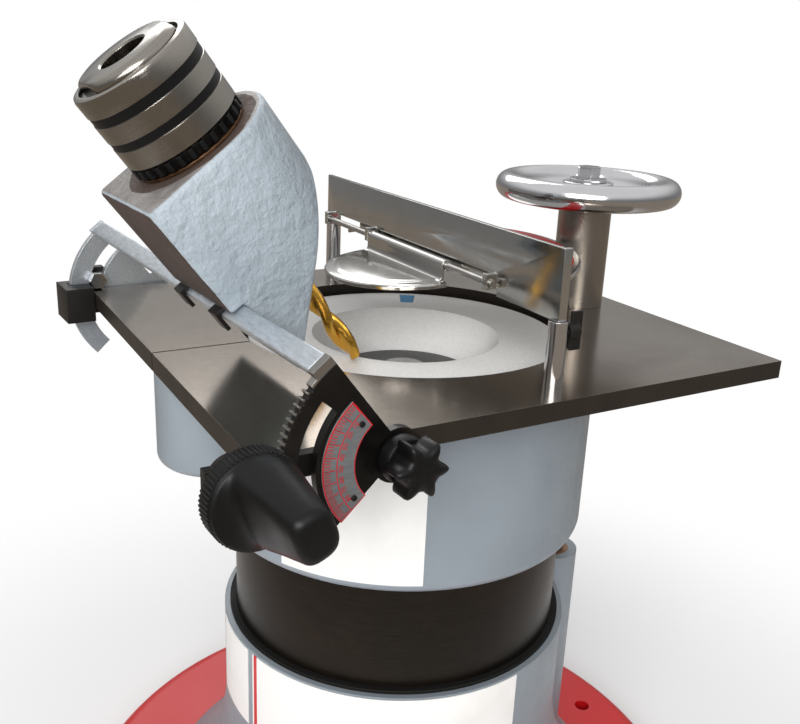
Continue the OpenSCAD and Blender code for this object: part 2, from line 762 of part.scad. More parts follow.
module gear_sector() color(STEEL) tilted() plate(-ear_front, ear_t) difference() {
  union() {
    circle(r = ear_hub);
    intersection() {
      circle(r = sector_r + tooth_up);
      wedge(0, 94, 2 * sector_r);
    }
    translate([-web_out, -web_down]) square([web_out, web_up + web_down]);
  }
  circle(r = pivot_r + fit);
  ring_part(relief_in, relief_out, 12, 84);
  for (i = [-13:12]) rotate(180 + 52 + (i + 0.5) * 360 / sector_n) tooth_gap(sector_r, sector_n);
}

module rear_quadrant() color(STEEL) tilted() plate(ear_rear + ear_t, ear_t) difference() {
  union() {
    circle(r = ear_hub);
    intersection() {
      circle(r = quad_r);
      wedge(0, 48, 2 * quad_r);
    }
    ring_part(slot_out, quad_r, 40, 95);
    translate([-web_out, -web_down]) square([web_out, web_up + web_down]);
  }
  circle(r = pivot_r + fit);
  ring_part(slot_in, slot_out, 0.6, 60);
}

module protractor_scale() color(WHITE) tilted() plate(-scale_y, scale_t) difference() {
  ring_part(scale_in, scale_out, 1, 94);
  for (a = [8, 86]) rotate(180 + a) translate([(scale_in + scale_out) / 2 - m5, 0]) circle(r = m3 / 2 + fit);
}

module scale_screws() color(CHROME) tilted() for (a = [8, 86]) rotate([0, -a, 0])
  translate([-(scale_in + scale_out) / 2 + m5, 0, 0]) {
    rod(m3 / 2, -scale_y - scale_t, scale_t);
    rod(m3 * 0.7, -scale_y - scale_t - m3 / 3, m3 / 3);
  }

module pinion_shaft() color(STEEL) guide() translate([-gear_c, 0, 0]) {
  plate(-ear_front + gap / 2, ear_t + gap) {
    circle(r = pinion_r - tooth_down);
    for (i = [0:pinion_n - 1]) rotate((i + 0.5) * 360 / pinion_n) tooth(pinion_r);
  }
  rod(shaft_r, -ear_front - ear_t - wing_skirt, ear_t + wing_skirt + lug_r);
}

module wing_knob() color(DARK) guide() translate([-gear_c, -ear_front - ear_t - m3, 0]) difference() {
  union() {
    plate(0, wing_skirt) {
      circle(r = wing_r - m3 / 2);
      for (a = [0:12:348]) rotate(a) translate([wing_r - m3 / 2, 0]) circle(r = m3 / 2);
    }
    translate([0, -wing_skirt, 0]) rotate([90, 0, 0]) cylinder(r1 = wing_r - m3, r2 = wing_face, h = wing_taper);
    intersection() {
      rotate([0, 69, 0]) translate([-wing_face, -wing_skirt - wing_taper - wing_len, -wing_t / 2])
        cube([2 * wing_face, wing_len + wing_taper, wing_t]);
      translate([0, -wing_skirt, 0]) rotate([90, 0, 0])
        cylinder(r1 = wing_face, r2 = wing_face * 0.8, h = wing_len + wing_taper);
    }
  }
  rod(shaft_r + fit, -wing_skirt + m3, far);
}

module star_knob() color(DARK) guide() {
  rod(star_collar, -ear_front - ear_t - gap - star_collar_len, star_collar_len);
  plate(-ear_front - ear_t - gap - star_collar_len, star_len) {
    circle(r = star_r);
    for (a = [0:60:300]) rotate(a) translate([star_r - m3 / 2, 0]) circle(r = star_lobe + m3 / 2);
  }
  rod(pivot_r, -ear_front - ear_t - 2 * gap, ear_t + ear_front / 10);
}

module clamp_bolt() color(CHROME) guide() translate([-clamp_x, 0, clamp_z]) {
  translate([0, ear_rear - gap - clamp_head_len, 0]) rotate([-90, 0, 0]) cylinder(r = clamp_head, h = clamp_head_len, $fn = 6);
  rod(clamp_r, ear_rear - gap - cut, ear_t + block_plate + 2 * gap + cut);
}

// Outline of the holder in the upright guide frame: the face, the low edge and the rounded corner
hx = -holder_round + holder_reach;
hn = drill_n + holder_off + holder_r;
hu = (sin(guide_tilt) * (hn - holder_round) - hx) / cos(guide_tilt);
hz = sin(guide_tilt) * hu + cos(guide_tilt) * (hn - holder_round);
tx = -cos(guide_tilt) * hu + sin(guide_tilt) * hn;
tz = sin(guide_tilt) * hu + cos(guide_tilt) * hn;

module holder_side() {
  polygon([[-far, holder_low], [holder_reach - holder_slope, holder_low], [holder_reach, hz], [tx, tz],
    [tx - cos(guide_tilt) * far, tz + sin(guide_tilt) * far], [-far, tz + sin(guide_tilt) * far]]);
  translate([hx, hz]) circle(r = holder_round);
}

module holder_casting() color(GREY) difference() {
  intersection() {
    drill_axis() translate([0, 0, -holder_top]) linear_extrude(2 * holder_top) {
      translate([holder_off, 0]) circle(r = holder_r);
      translate([-drill_n - holder_flat, -holder_r]) square([drill_n + holder_flat + holder_off, 2 * holder_r]);
    }
    guide() plate(far, 2 * far) holder_side();
  }
  tilted() translate([-web_out - gap, -far, -far]) cube([far, 2 * far, far + web_up + gap]);
  drill_axis() {
    translate([0, 0, -far]) cylinder(r = bush_bore - bush_wall, h = 2 * far);
    translate([0, 0, holder_top - holder_r]) cylinder(r = bush_bore + bush_wall + fit, h = far);
  }
}

module holder_bush() color(BRONZE) drill_axis() {
  tube(bush_bore + bush_wall, bush_bore, holder_top - holder_r, holder_top);
  tube(chuck_r - cut, bush_bore, holder_top, holder_top + cut);
}

module holder_clips() color(DARK) tilted() for (s = [-1, 1]) translate([0, -holder_y + s * clip_gap / 2 - clip_w / 2, 0]) {
  translate([-web_out - gap - m3, 0, -web_down - gap - m3]) cube([m3, clip_w, web_down + gap + m3 - holder_flat]);
  translate([-web_out - gap - cut, 0, -web_down - gap - m3]) cube([clip_w + cut, clip_w, m3]);
}

module chuck_body() color(CHROME) drill_axis() difference() {
  union() {
    translate([0, 0, holder_top - holder_r]) cylinder(r = bush_bore - fit, h = holder_r + ring_u - holder_top);
    translate([0, 0, ring_u]) cylinder(r = sleeve_in - fit, h = chuck_end - ring_u - m3);
  }
  translate([0, 0, chuck_end - holder_r / 2]) cylinder(r = bush_bore / 2, h = far);
  translate([0, 0, -cut]) cylinder(r = bush_bore / 2, h = holder_top + cut);
}

module chuck_jaws() color(STEEL) drill_axis() for (a = [0:120:240]) rotate([0, 0, a]) intersection() {
  translate([0, 0, holder_top - holder_r - ring_len]) difference() {
    cylinder(r = bush_bore / 2 - fit, h = holder_r);
    translate([0, 0, -cut]) cylinder(r = drill_r + fit, h = far);
  }
  translate([0, -m5, 0]) cube([far, 2 * m5, far]);
}

module drill_bit() color(GOLD) drill_axis() {
  translate([0, 0, -drill_tip + drill_r / 2]) cylinder(r = drill_r, h = drill_tip - drill_r / 2 + holder_top - gap);
  translate([0, 0, -drill_tip]) cylinder(r1 = gap, r2 = drill_r, h = drill_r / 2);
}

module chuck_sleeve() color(CHROME) drill_axis() difference() {
  union() {
    translate([0, 0, ring_u]) linear_extrude(ring_len) {
      circle(r = chuck_r - m3);
      for (i = [0:ring_n - 1]) rotate(i * 360 / ring_n) translate([chuck_r - m3, 0]) circle(r = m3, $fn = 24);
    }
    translate([0, 0, ring_u + ring_len]) cylinder(r = chuck_r - m3 / 2, h = m3);
    translate([0, 0, ring_u + ring_len + m3]) cylinder(r = chuck_r, h = chuck_end - ring_u - ring_len - 2 * m3);
    translate([0, 0, chuck_end - m3]) cylinder(r1 = chuck_r, r2 = chuck_r - m3, h = m3);
  }
  cylinder(r = sleeve_in, h = far);
}

module guard_plate() color(CHROME) difference() {
  union() {
    translate([guard_x - guard_t, guard_y0, table_z + guard_z0])
      cube([guard_t, guard_rear + guard_post_r - guard_y0, guard_z1 - guard_z0]);
    translate([guard_x - guard_t, guard_y0, table_z + guard_foot])
      cube([guard_t, -guard_tab - guard_y0, guard_z1 - guard_foot]);
    translate([guard_x - guard_t, guard_y0, table_z + guard_foot]) cube([guard_fold, guard_t, guard_z1 - guard_foot]);
    for (y = [guard_lug, flap_y + flap_len / 2 + gap, rod_y1 - bush_wall]) translate([rod_x - barrel_r, y, table_z + rod_z - barrel_r])
      cube([guard_x - rod_x + barrel_r, bush_wall, 2.5 * barrel_r]);
  }
  translate([rod_x, -far, table_z + rod_z]) rotate([-90, 0, 0]) cylinder(r = rod_r + fit, h = 2 * far);
}

module hinge_rod() color(STEEL) translate([rod_x, 0, table_z + rod_z])
  rod(rod_r, guard_lug - cut, rod_y1 - guard_lug + cut);

module guard_flap() color(CHROME) translate([rod_x, flap_y, table_z + rod_z]) difference() {
  union() {
    rod(barrel_r, -flap_len / 2, flap_len);
    translate([gap - barrel_r, -flap_len / 2, -flap_drop]) cube([flap_t, flap_len, flap_drop]);
    translate([gap - barrel_r, 0, -flap_drop]) rotate([0, -flap_tilt, 0]) intersection() {
      difference() {
        translate([0, 0, -flap_lip]) cylinder(r = flap_r, h = flap_lip);
        translate([0, 0, -flap_lip - cut]) cylinder(r = flap_r - flap_t, h = flap_lip + cut - flap_t);
      }
      translate([flap_t - far, -far, -far]) cube([far, 2 * far, 2 * far]);
    }
  }
  rod(rod_r + fit, -far, 2 * far);
}

module red_cover() color(BASE_RED) translate([guard_x + fit, red_y, table_z + red_z]) {
  translate([0, -red_r * 0.8, -flap_t]) cube([flap_t, red_r * 1.6, red_fold]);
  rotate([0, -red_tilt, 0]) intersection() {
    difference() {
      translate([0, 0, -flap_lip]) cylinder(r = red_r, h = flap_lip);
      translate([0, 0, -flap_lip - cut]) cylinder(r = red_r - flap_t, h = flap_lip + cut - flap_t);
    }
    translate([flap_t / 2, -far, -far]) cube([far, 2 * far, 2 * far]);
  }
}

module wing_screw() color(CHROME) translate([guard_x, -guard_front, table_z + guard_foot - 2 * m5]) rotate([0, 90, 0]) {
  translate([0, 0, cut + fit]) cylinder(r = m3, h = guard_post_r + 2 * m5);
  translate([0, 0, guard_post_r + gap]) cylinder(r = m5 + cut, h = 2 * m5);
  translate([-lug_r, -m3 / 2, guard_post_r + m5]) cube([2 * lug_r, m3, 2 * m5]);
}

module switch_rocker() color(BASE_RED) translate([0, box_y - bush_wall, box_z0 + box_h / 2]) rotate([8, 0, 0]) intersection() {
  translate([-box_w / 2 + gap, -bush_wall, -box_w / 3.6]) cube([box_w - 2 * gap, 3 * bush_wall, box_w / 1.8]);
  translate([-far, 0, 0]) rotate([0, 90, 0]) cylinder(r = box_w / 3.5, h = 2 * far);
}

base_plate();
rubber_feet();
lower_housing();
housing_bolts();
wiper_seal();
motor_tube();
stator();
stator_windings();
lower_end_shield();
upper_end_shield();
lower_bearing();
upper_bearing();
lift_nut();
front_label();
side_label();
switch_box();
cable_gland();
spindle_shaft();
rotor_core();
wheel_flange();
grinding_wheel();
wheel_nut();
head_housing();
capacitor();
rating_plate();
table_plate();
table_screws();
lift_post();
pinion_bracket();
rear_bracket();
rear_pivot_pin();
guard_posts();
lift_screw();
handwheel();
handwheel_bolt();
guide_web();
gear_sector();
rear_quadrant();
protractor_scale();
scale_screws();
pinion_shaft();
wing_knob();
star_knob();
clamp_bolt();
holder_casting();
holder_bush();
holder_clips();
chuck_body();
chuck_jaws();
drill_bit();
chuck_sleeve();
guard_plate();
hinge_rod();
guard_flap();
red_cover();
wing_screw();
switch_rocker();
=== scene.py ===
import bpy, bmesh, json, math
from mathutils import Matrix, Vector


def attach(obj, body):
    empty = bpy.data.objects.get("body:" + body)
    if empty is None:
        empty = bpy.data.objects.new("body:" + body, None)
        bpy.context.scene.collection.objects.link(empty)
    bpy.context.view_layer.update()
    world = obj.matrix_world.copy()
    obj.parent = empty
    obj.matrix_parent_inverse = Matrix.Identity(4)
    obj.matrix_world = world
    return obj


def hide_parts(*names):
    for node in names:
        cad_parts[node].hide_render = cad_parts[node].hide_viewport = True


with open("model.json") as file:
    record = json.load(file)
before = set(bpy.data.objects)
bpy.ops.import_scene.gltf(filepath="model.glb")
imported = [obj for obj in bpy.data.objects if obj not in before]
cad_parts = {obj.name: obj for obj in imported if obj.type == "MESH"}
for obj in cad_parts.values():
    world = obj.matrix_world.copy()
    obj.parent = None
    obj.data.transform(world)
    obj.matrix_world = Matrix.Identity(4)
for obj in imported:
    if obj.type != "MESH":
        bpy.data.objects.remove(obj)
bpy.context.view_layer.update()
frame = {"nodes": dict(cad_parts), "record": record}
bodyOf = {n: b for b, ns in frame["record"]["behaviour"]["bodies"].items() for n in ns}
scene = bpy.context.scene
mm = 0.001
print("frame loaded", len(bodyOf), "nodes")


def shift(x, y, z):
    return Matrix.Translation((x * mm, y * mm, z * mm))


def turn(angle, axis):
    return Matrix.Rotation(math.radians(angle), 4, axis)


# the guide's own frames, as in the part: axis frame, tilted frame and drill frame
guideSet = {"x": -81, "drop": 4.5, "skew": 3.3, "tilt": 52, "tableTop": 300, "drill": (0, -31, 31)}
guideFrame = shift(guideSet["x"], 0, guideSet["tableTop"] - guideSet["drop"]) @ turn(guideSet["skew"], "Z")
tiltFrame = guideFrame @ turn(guideSet["tilt"], "Y")
drillFrame = tiltFrame @ shift(*guideSet["drill"]) @ turn(-90, "Y")


# materials

class Finish:
    def __init__(self, name):
        self.mat = bpy.data.materials.new(name)
        self.mat.use_nodes = True
        self.nodes, self.links = self.mat.node_tree.nodes, self.mat.node_tree.links
        self.bsdf = self.nodes["Principled BSDF"]
        self.coord = self.nodes.new("ShaderNodeTexCoord").outputs["Object"]
        self.normal = None

    def add(self, kind, **sets):
        n = self.nodes.new(kind)
        for k, v in sets.items():
            setattr(n, k, v)
        return n

    def put(self, socket, value):
        if isinstance(value, bpy.types.NodeSocket):
            self.links.new(value, socket)
        else:
            socket.default_value = value

    def noise(self, scale, detail=4, rough=0.55, stretch=None, distort=0):
        src = self.coord
        if stretch:
            m = self.add("ShaderNodeMapping")
            m.inputs["Scale"].default_value = stretch
            self.links.new(src, m.inputs["Vector"])
            src = m.outputs["Vector"]
        n = self.add("ShaderNodeTexNoise")
        self.links.new(src, n.inputs["Vector"])
        for k, v in (("Scale", scale), ("Detail", detail), ("Roughness", rough), ("Distortion", distort)):
            n.inputs[k].default_value = v
        return n.outputs["Fac"]

    def cells(self, scale):
        n = self.add("ShaderNodeTexVoronoi", feature="F1")
        self.links.new(self.coord, n.inputs["Vector"])
        n.inputs["Scale"].default_value = scale
        return n.outputs["Distance"]

    def span(self, fac, a, b, c, d):
        n = self.add("ShaderNodeMapRange")
        for k, v in (("Value", fac), ("From Min", a), ("From Max", b), ("To Min", c), ("To Max", d)):
            self.put(n.inputs[k], v)
        return n.outputs["Result"]

    def sums(self, op, a, b=0.0, c=0.0):
        n = self.add("ShaderNodeMath", operation=op)
        for i, v in enumerate((a, b, c)):
            self.put(n.inputs[i], v)
        return n.outputs[0]

    def vector(self, op, a, b=None, out=0):
        n = self.add("ShaderNodeVectorMath", operation=op)
        self.put(n.inputs[0], a)
        if b is not None:
            self.put(n.inputs[1], b)
        return n.outputs[out]

    def mix(self, fac, a, b):
        n = self.add("ShaderNodeMix", data_type="RGBA")
        for k, v in ((0, fac), (6, a), (7, b)):
            self.put(n.inputs[k], v)
        return n.outputs[2]

    def along(self, direction, origin=(0, 0, 0)):
        # distance of a point along a direction, in metres
        d = self.vector("DOT_PRODUCT", self.coord, direction, "Value")
        return self.sums("SUBTRACT", d, Vector(direction).dot(Vector(origin)))

    def fromAxis(self, axis, origin):
        # distance of a point from a line, in metres
        rel = self.vector("SUBTRACT", self.coord, origin)
        return self.vector("LENGTH", self.vector("CROSS_PRODUCT", rel, axis), None, "Value")

    def edges(self, radius):
        # 1 on rounded edges, 0 on flat faces; the rounded normal feeds the bump
        b = self.add("ShaderNodeBevel", samples=4)
        b.inputs["Radius"].default_value = radius * mm
        face = self.add("ShaderNodeNewGeometry").outputs["Normal"]
        self.normal = b.outputs[0]
        return self.span(self.vector("DOT_PRODUCT", self.normal, face, "Value"), 0.98, 0.86, 0.0, 1.0)

    def bump(self, height, depth, strength=1.0):
        b = self.add("ShaderNodeBump")
        b.inputs["Distance"].default_value = depth * mm
        b.inputs["Strength"].default_value = strength
        self.links.new(height, b.inputs["Height"])
        if self.normal is not None:
            self.links.new(self.normal, b.inputs["Normal"])
        self.normal = b.outputs[0]

    def done(self, color, rough, metal=0.0, **extra):
        self.put(self.bsdf.inputs["Base Color"], color)
        self.put(self.bsdf.inputs["Roughness"], rough)
        self.put(self.bsdf.inputs["Metallic"], metal)
        for k, v in extra.items():
            self.put(self.bsdf.inputs[k], v)
        if self.normal is not None:
            self.links.new(self.normal, self.bsdf.inputs["Normal"])
        return self.mat


def col(r, g, b):
    # screen colour 0 to 255 to the shader's linear colour
    def linear(v):
        return (v / 255) / 12.92 if v <= 10 else (((v / 255) + 0.055) / 1.055) ** 2.4
    return tuple(linear(v) for v in (r, g, b)) + (1,)


def scaled(tone, factor, lift=0.0):
    return tuple(min(1, v * factor + lift) for v in tone[:3]) + (1,)


def castPaint(name, tone, lump, gloss):
    f = Finish(name)
    wear = f.edges(0.9)
    broad = f.noise(9, 3)
    fine = f.noise(420, 3, 0.6)
    lumps = f.noise(170, 4, 0.6)
    body = f.mix(f.span(broad, 0.35, 0.68, 0, 1), scaled(tone, 0.80), scaled(tone, 1.10))
    chips = f.sums("MULTIPLY", wear, f.span(f.noise(130, 5, 0.7), 0.52, 0.66, 0, 0.75))
    body = f.mix(chips, body, col(98, 92, 86))
    f.bump(f.sums("ADD", lumps, f.sums("MULTIPLY", fine, 0.35)), lump)
    return f.done(body, f.span(lumps, 0.3, 0.7, gloss, gloss + 0.14), 0.0)


# mm: depth of the underside, height of the top face, radius of the bare ring, waviness of its edge
holderSet = {"underside": -2.35, "topFace": 95.0, "bareRing": 27.8, "ragged": 3.0}


def holderFinish(s):
    # rough pale paint, bare brown iron on the flat underside and round the bush
    f = Finish("holderRoughPaint")
    wear = f.edges(1.2)
    normalDir = tiltFrame.to_3x3() @ Vector((0, 0, 1))
    slopeUp = drillFrame.to_3x3() @ Vector((0, 0, 1))
    base = drillFrame.translation
    lumps = f.noise(240, 5, 0.62)
    pits = f.noise(90, 4, 0.6)
    broad = f.noise(14, 3)
    paint = f.mix(f.span(broad, 0.3, 0.7, 0, 1), col(144, 155, 163), col(166, 176, 183))
    brown = f.mix(f.noise(60, 5, 0.65), col(46, 35, 31), col(86, 69, 61))
    ragged = f.sums("MULTIPLY", f.sums("SUBTRACT", f.noise(110, 4, 0.6), 0.5), s["ragged"] * mm)
    depth = f.sums("ADD", f.along(normalDir, guideFrame.translation), f.sums("MULTIPLY", ragged, 0.2))
    under = f.sums("LESS_THAN", depth, s["underside"] * mm)
    top = f.sums("GREATER_THAN", f.along(slopeUp, base), s["topFace"] * mm)
    ringed = f.sums("LESS_THAN", f.sums("ADD", f.fromAxis(slopeUp, base), ragged), s["bareRing"] * mm)
    bare = f.sums("MAXIMUM", under, f.sums("MULTIPLY", top, ringed))
    chips = f.sums("MULTIPLY", wear, f.span(f.noise(150, 5, 0.7), 0.5, 0.64, 0, 0.8))
    flat = f.mix(f.noise(130, 5, 0.7), col(96, 91, 88), col(158, 154, 151))
    color = f.mix(f.sums("MAXIMUM", bare, chips), f.mix(top, paint, flat), brown)
    f.bump(f.sums("ADD", lumps, f.sums("MULTIPLY", pits, 1.6)), 1.2, 1.0)
    return f.done(color, f.span(bare, 0, 1, 0.42, 0.66), 0.0)


def brushed(name, dark, pale, rough, stretch, depth=0.02, stain=0.0, metal=1.0):
    f = Finish(name)
    wear = f.edges(0.35)
    lines = f.noise(90, 6, 0.7, stretch)
    cloud = f.noise(16, 5, 0.6, distort=0.4)
    color = f.mix(f.span(lines, 0.3, 0.7, 0, 1), dark, pale)
    color = f.mix(f.span(cloud, 0.45, 0.75, 0, stain), color, col(70, 54, 42))
    color = f.mix(f.sums("MULTIPLY", wear, 0.5), color, scaled(pale, 1.5))
    f.bump(lines, depth)
    uneven = f.sums("ADD", f.sums("MULTIPLY", lines, 0.6), f.sums("MULTIPLY", cloud, 0.4))
    return f.done(color, f.span(uneven, 0.3, 0.7, rough, rough + 0.16), metal)


def tableFinish():
    # ground top with faint stains; the vertical edge faces are painted dark as shade, and are rougher and
    # less metallic
    f = Finish("groundTableSteel")
    f.edges(0.4)
    lines = f.noise(90, 6, 0.7, (3, 26, 26))
    cloud = f.noise(15, 5, 0.6, distort=0.5)
    color = f.mix(f.span(lines, 0.3, 0.7, 0, 1), col(126, 117, 106), col(150, 141, 130))
    color = f.mix(f.span(cloud, 0.42, 0.72, 0, 0.5), color, col(86, 74, 64))
    xyz = f.add("ShaderNodeSeparateXYZ")
    f.links.new(f.add("ShaderNodeNewGeometry").outputs["Normal"], xyz.inputs[0])
    # vertical faces, found by their normal, get dark tones as painted shade, and a rougher, less metallic
    # finish
    side = f.span(xyz.outputs["Z"], 0.35, 0.85, 1, 0)
    color = f.mix(side, color, f.mix(f.noise(70, 5, 0.6), col(34, 30, 26), col(58, 50, 43)))
    f.bump(lines, 0.006)
    uneven = f.sums("ADD", f.sums("MULTIPLY", lines, 0.5), f.sums("MULTIPLY", cloud, 0.5))
    rough = f.sums("ADD", f.span(uneven, 0.3, 0.7, 0.12, 0.24), f.sums("MULTIPLY", side, 0.25))
    return f.done(color, rough, f.span(side, 0, 1, 1.0, 0.5))


gearSet = {"shadeEnd": 43.4, "bright": 44.2}  # radii in mm between which the teeth turn from the painted shade to bright


def gearFinish(s):
    # dark sector whose near-black tone is painted shade, bright on the tips of its teeth
    f = Finish("gearSteelPaintedShade")
    f.edges(0.25)
    size = f.fromAxis(guideFrame.to_3x3() @ Vector((0, 1, 0)), guideFrame.translation)
    tip = f.span(size, s["shadeEnd"] * mm, s["bright"] * mm, 0, 1)
    shadeMottle = f.noise(40, 5, 0.6)
    # the two near-black tones are painted shade on the sector
    color = f.mix(f.span(shadeMottle, 0.35, 0.7, 0, 1), col(16, 15, 14), col(36, 33, 30))
    color = f.mix(tip, color, col(158, 154, 148))
    f.bump(shadeMottle, 0.02)
    return f.done(color, f.span(shadeMottle, 0.3, 0.7, 0.24, 0.4), f.span(tip, 0, 1, 0.6, 1.0))


def plated(name, tone, rough):
    f = Finish(name)
    f.edges(0.5)
    smear = f.noise(38, 4, 0.6, distort=0.8)
    ripple = f.noise(26, 2, 0.4)
    color = f.mix(f.span(smear, 0.4, 0.7, 0, 0.35), tone, scaled(tone, 0.8))
    f.bump(ripple, 0.10, 0.5)
    return f.done(color, f.span(smear, 0.35, 0.75, rough, rough + 0.12), 1.0)


def moulded(name, tone, rough, grain=0.05, shine=0.22):
    f = Finish(name)
    wear = f.edges(0.6)
    skin = f.noise(700, 3, 0.6)
    dust = f.noise(22, 4, 0.6)
    color = f.mix(f.span(dust, 0.42, 0.8, 0, 0.5), tone, scaled(tone, 1.5, 0.002))
    color = f.mix(f.sums("MULTIPLY", wear, 0.16), color, col(84, 82, 80))
    f.bump(skin, grain)
    return f.done(color, f.span(dust, 0.3, 0.7, rough, rough + 0.15), 0.0, **{"Specular IOR Level": shine})


def glossPaint(name, tone):
    f = Finish(name)
    wear = f.edges(0.8)
    peel = f.noise(160, 2, 0.5)
    broad = f.noise(7, 3)
    color = f.mix(f.span(broad, 0.3, 0.7, 0, 0.3), tone, scaled(tone, 0.7))
    chips = f.sums("MULTIPLY", wear, f.span(f.noise(120, 5, 0.7), 0.55, 0.68, 0, 0.7))
    color = f.mix(chips, color, col(92, 84, 80))
    f.bump(peel, 0.10)
    return f.done(color, f.span(broad, 0.3, 0.7, 0.34, 0.46), 0.0)


def abrasive():
    f = Finish("whiteAbrasive")
    f.edges(0.5)
    grit = f.noise(1500, 4, 0.75)
    pores = f.cells(900)
    cloud = f.noise(20, 4)
    color = f.mix(f.span(grit, 0.35, 0.62, 0, 1), col(230, 229, 226), col(248, 247, 245))
    color = f.mix(f.span(cloud, 0.5, 0.8, 0, 0.2), color, col(222, 217, 210))
    f.bump(f.sums("ADD", grit, pores), 0.22, 0.8)
    return f.done(color, 0.92, 0.0)


def printed(name, stripe=None):
    # bare printed sheet; a stripe is a band of angles round the drum, in degrees
    f = Finish(name)
    fibre = f.noise(600, 3, 0.6)
    soil = f.noise(30, 5, 0.65)
    color = f.mix(f.span(soil, 0.5, 0.85, 0, 0.35), col(232, 231, 228), col(196, 190, 182))
    if stripe:
        first, last, tone = stripe
        xyz = f.add("ShaderNodeSeparateXYZ")
        f.links.new(f.coord, xyz.inputs[0])
        angle = f.sums("ARCTAN2", xyz.outputs["Y"], xyz.outputs["X"])
        middle, half = math.radians((first + last) / 2 - 360), math.radians((last - first) / 2)
        color = f.mix(f.sums("COMPARE", angle, middle, half), color, tone)
    f.bump(fibre, 0.02)
    return f.done(color, f.span(soil, 0.3, 0.8, 0.34, 0.5), 0.0)


def turned(name, dark, pale, rough, frameMatrix):
    # lathe rings: fine lines along the turning axis
    f = Finish(name)
    f.edges(0.3)
    step = f.along(frameMatrix.to_3x3() @ Vector((0, 0, 1)), frameMatrix.translation)
    w = f.add("ShaderNodeTexNoise", noise_dimensions="1D")
    f.put(w.inputs["W"], f.sums("MULTIPLY", step, 2600.0))
    w.inputs["Detail"].default_value = 4
    rings = w.outputs["Fac"]
    cloud = f.noise(40, 4)
    color = f.mix(f.span(rings, 0.3, 0.7, 0, 1), dark, pale)
    f.bump(rings, 0.015)
    return f.done(color, f.span(cloud, 0.3, 0.7, rough, rough + 0.1), 1.0)


finish = {
    "castGrey": castPaint("castBlueGreyPaint", col(136, 145, 152), 0.24, 0.34),
    "holder": holderFinish(holderSet),
    "tableSteel": tableFinish(),
    "gear": gearFinish(gearSet),
    "post": plated("polishedPostSteel", col(150, 144, 137), 0.26),
    "tubeSteel": brushed("oiledTubeSteel", col(34, 30, 26), col(45, 40, 35), 0.24, (1, 1, 14),
                         0.006, 0.3, 0.8),
    "zinc": brushed("zincPlatedSteel", col(176, 183, 190), col(216, 222, 227), 0.30, (12, 2, 12),
                    0.01, 0.08, 0.85),
    "steel": brushed("turnedSteel", col(140, 138, 135), col(188, 186, 182), 0.24, (4, 4, 30), 0.01, 0.15),
    "chrome": plated("chromePlate", col(196, 196, 198), 0.08),
    "sheet": plated("polishedSheetSteel", col(182, 181, 178), 0.11),
    "flange": brushed("greyWheelFlange", col(84, 84, 84), col(104, 104, 103), 0.5, (8, 8, 8), 0.02, 0.1, 0.3),
    "black": moulded("mouldedBlack", col(11, 11, 11), 0.34),
    "blackSteel": moulded("blackenedSteel", col(24, 22, 20), 0.38, 0.03),
    "rubber": moulded("matRubber", col(16, 15, 14), 0.62, 0.10),
    "red": glossPaint("glossRedPaint", col(196, 16, 22)),
    "abrasive": abrasive(),
    "label": printed("bareLabel"),
    "stripeLabel": printed("stripedLabel", (192.7, 194.3, col(196, 24, 30))),
    "sideLabel": printed("sideLabelSheet"),
    "bronze": brushed("turnedBronze", col(92, 68, 52), col(150, 116, 86), 0.34, (3, 3, 20), 0.02, 0.4),
    "copper": brushed("varnishedCopper", col(112, 58, 30), col(176, 102, 58), 0.32, (2, 2, 40), 0.05, 0.2),
    "gold": turned("goldNitride", col(190, 138, 44), col(232, 184, 86), 0.20, drillFrame),
    "chuckSteel": turned("turnedChuckSteel", col(96, 91, 85), col(172, 167, 159), 0.14, drillFrame),
    "chuckBand": moulded("blackChuckBand", col(14, 14, 14), 0.32, 0.02, 0.15),
    "scaleGrey": brushed("greyScalePlate", col(92, 94, 96), col(114, 116, 117), 0.42, (2, 2, 12),
                         0.006, 0.1, 0.2),
    "scaleRed": moulded("redScaleInk", col(196, 26, 34), 0.5, 0.01),
    "bluePrint": moulded("blueWheelMark", col(60, 132, 178), 0.6, 0.02),
}
nodeFinish = {
    "red": "base_plate red_cover switch_rocker",
    "rubber": "rubber_feet wiper_seal",
    "castGrey": "lower_housing head_housing lower_end_shield upper_end_shield",
    "steel": "housing_bolts stator lower_bearing upper_bearing spindle_shaft rotor_core table_screws "
             "rear_pivot_pin lift_screw pinion_shaft chuck_jaws hinge_rod",
    "tableSteel": "table_plate",
    "zinc": "guide_web rear_quadrant",
    "gear": "gear_sector",
    "tubeSteel": "motor_tube",
    "blackSteel": "pinion_bracket rear_bracket holder_clips scale_screws wing_screw",
    "copper": "stator_windings",
    "bronze": "lift_nut holder_bush",
    "label": "rating_plate",
    "stripeLabel": "front_label",
    "sideLabel": "side_label",
    "scaleGrey": "protractor_scale",
    "black": "switch_box cable_gland wing_knob star_knob",
    "abrasive": "grinding_wheel",
    "chrome": "guard_posts handwheel handwheel_bolt clamp_bolt capacitor",
    "sheet": "guard_plate guard_flap",
    "post": "lift_post",
    "flange": "wheel_flange wheel_nut",
    "chuckSteel": "chuck_body chuck_sleeve",
    "holder": "holder_casting",
    "gold": "drill_bit",
}
for key, names in nodeFinish.items():
    for n in names.split():
        obj = frame["nodes"][n]
        obj.data.materials.clear()
        obj.data.materials.append(finish[key])
print("finishes set", len(finish))


# piece makers

def place(name, mesh, body, mats, replaced=()):
    obj = bpy.data.objects.new(name, mesh)
    scene.collection.objects.link(obj)
    for m in mats:
        mesh.materials.append(finish[m])
    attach(obj, body)
    if replaced:
        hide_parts(*replaced)
    return obj


def smoothed(mesh, angle):
    for p in mesh.polygons:
        p.use_smooth = True
    mesh.set_sharp_from_angle(angle=math.radians(angle))


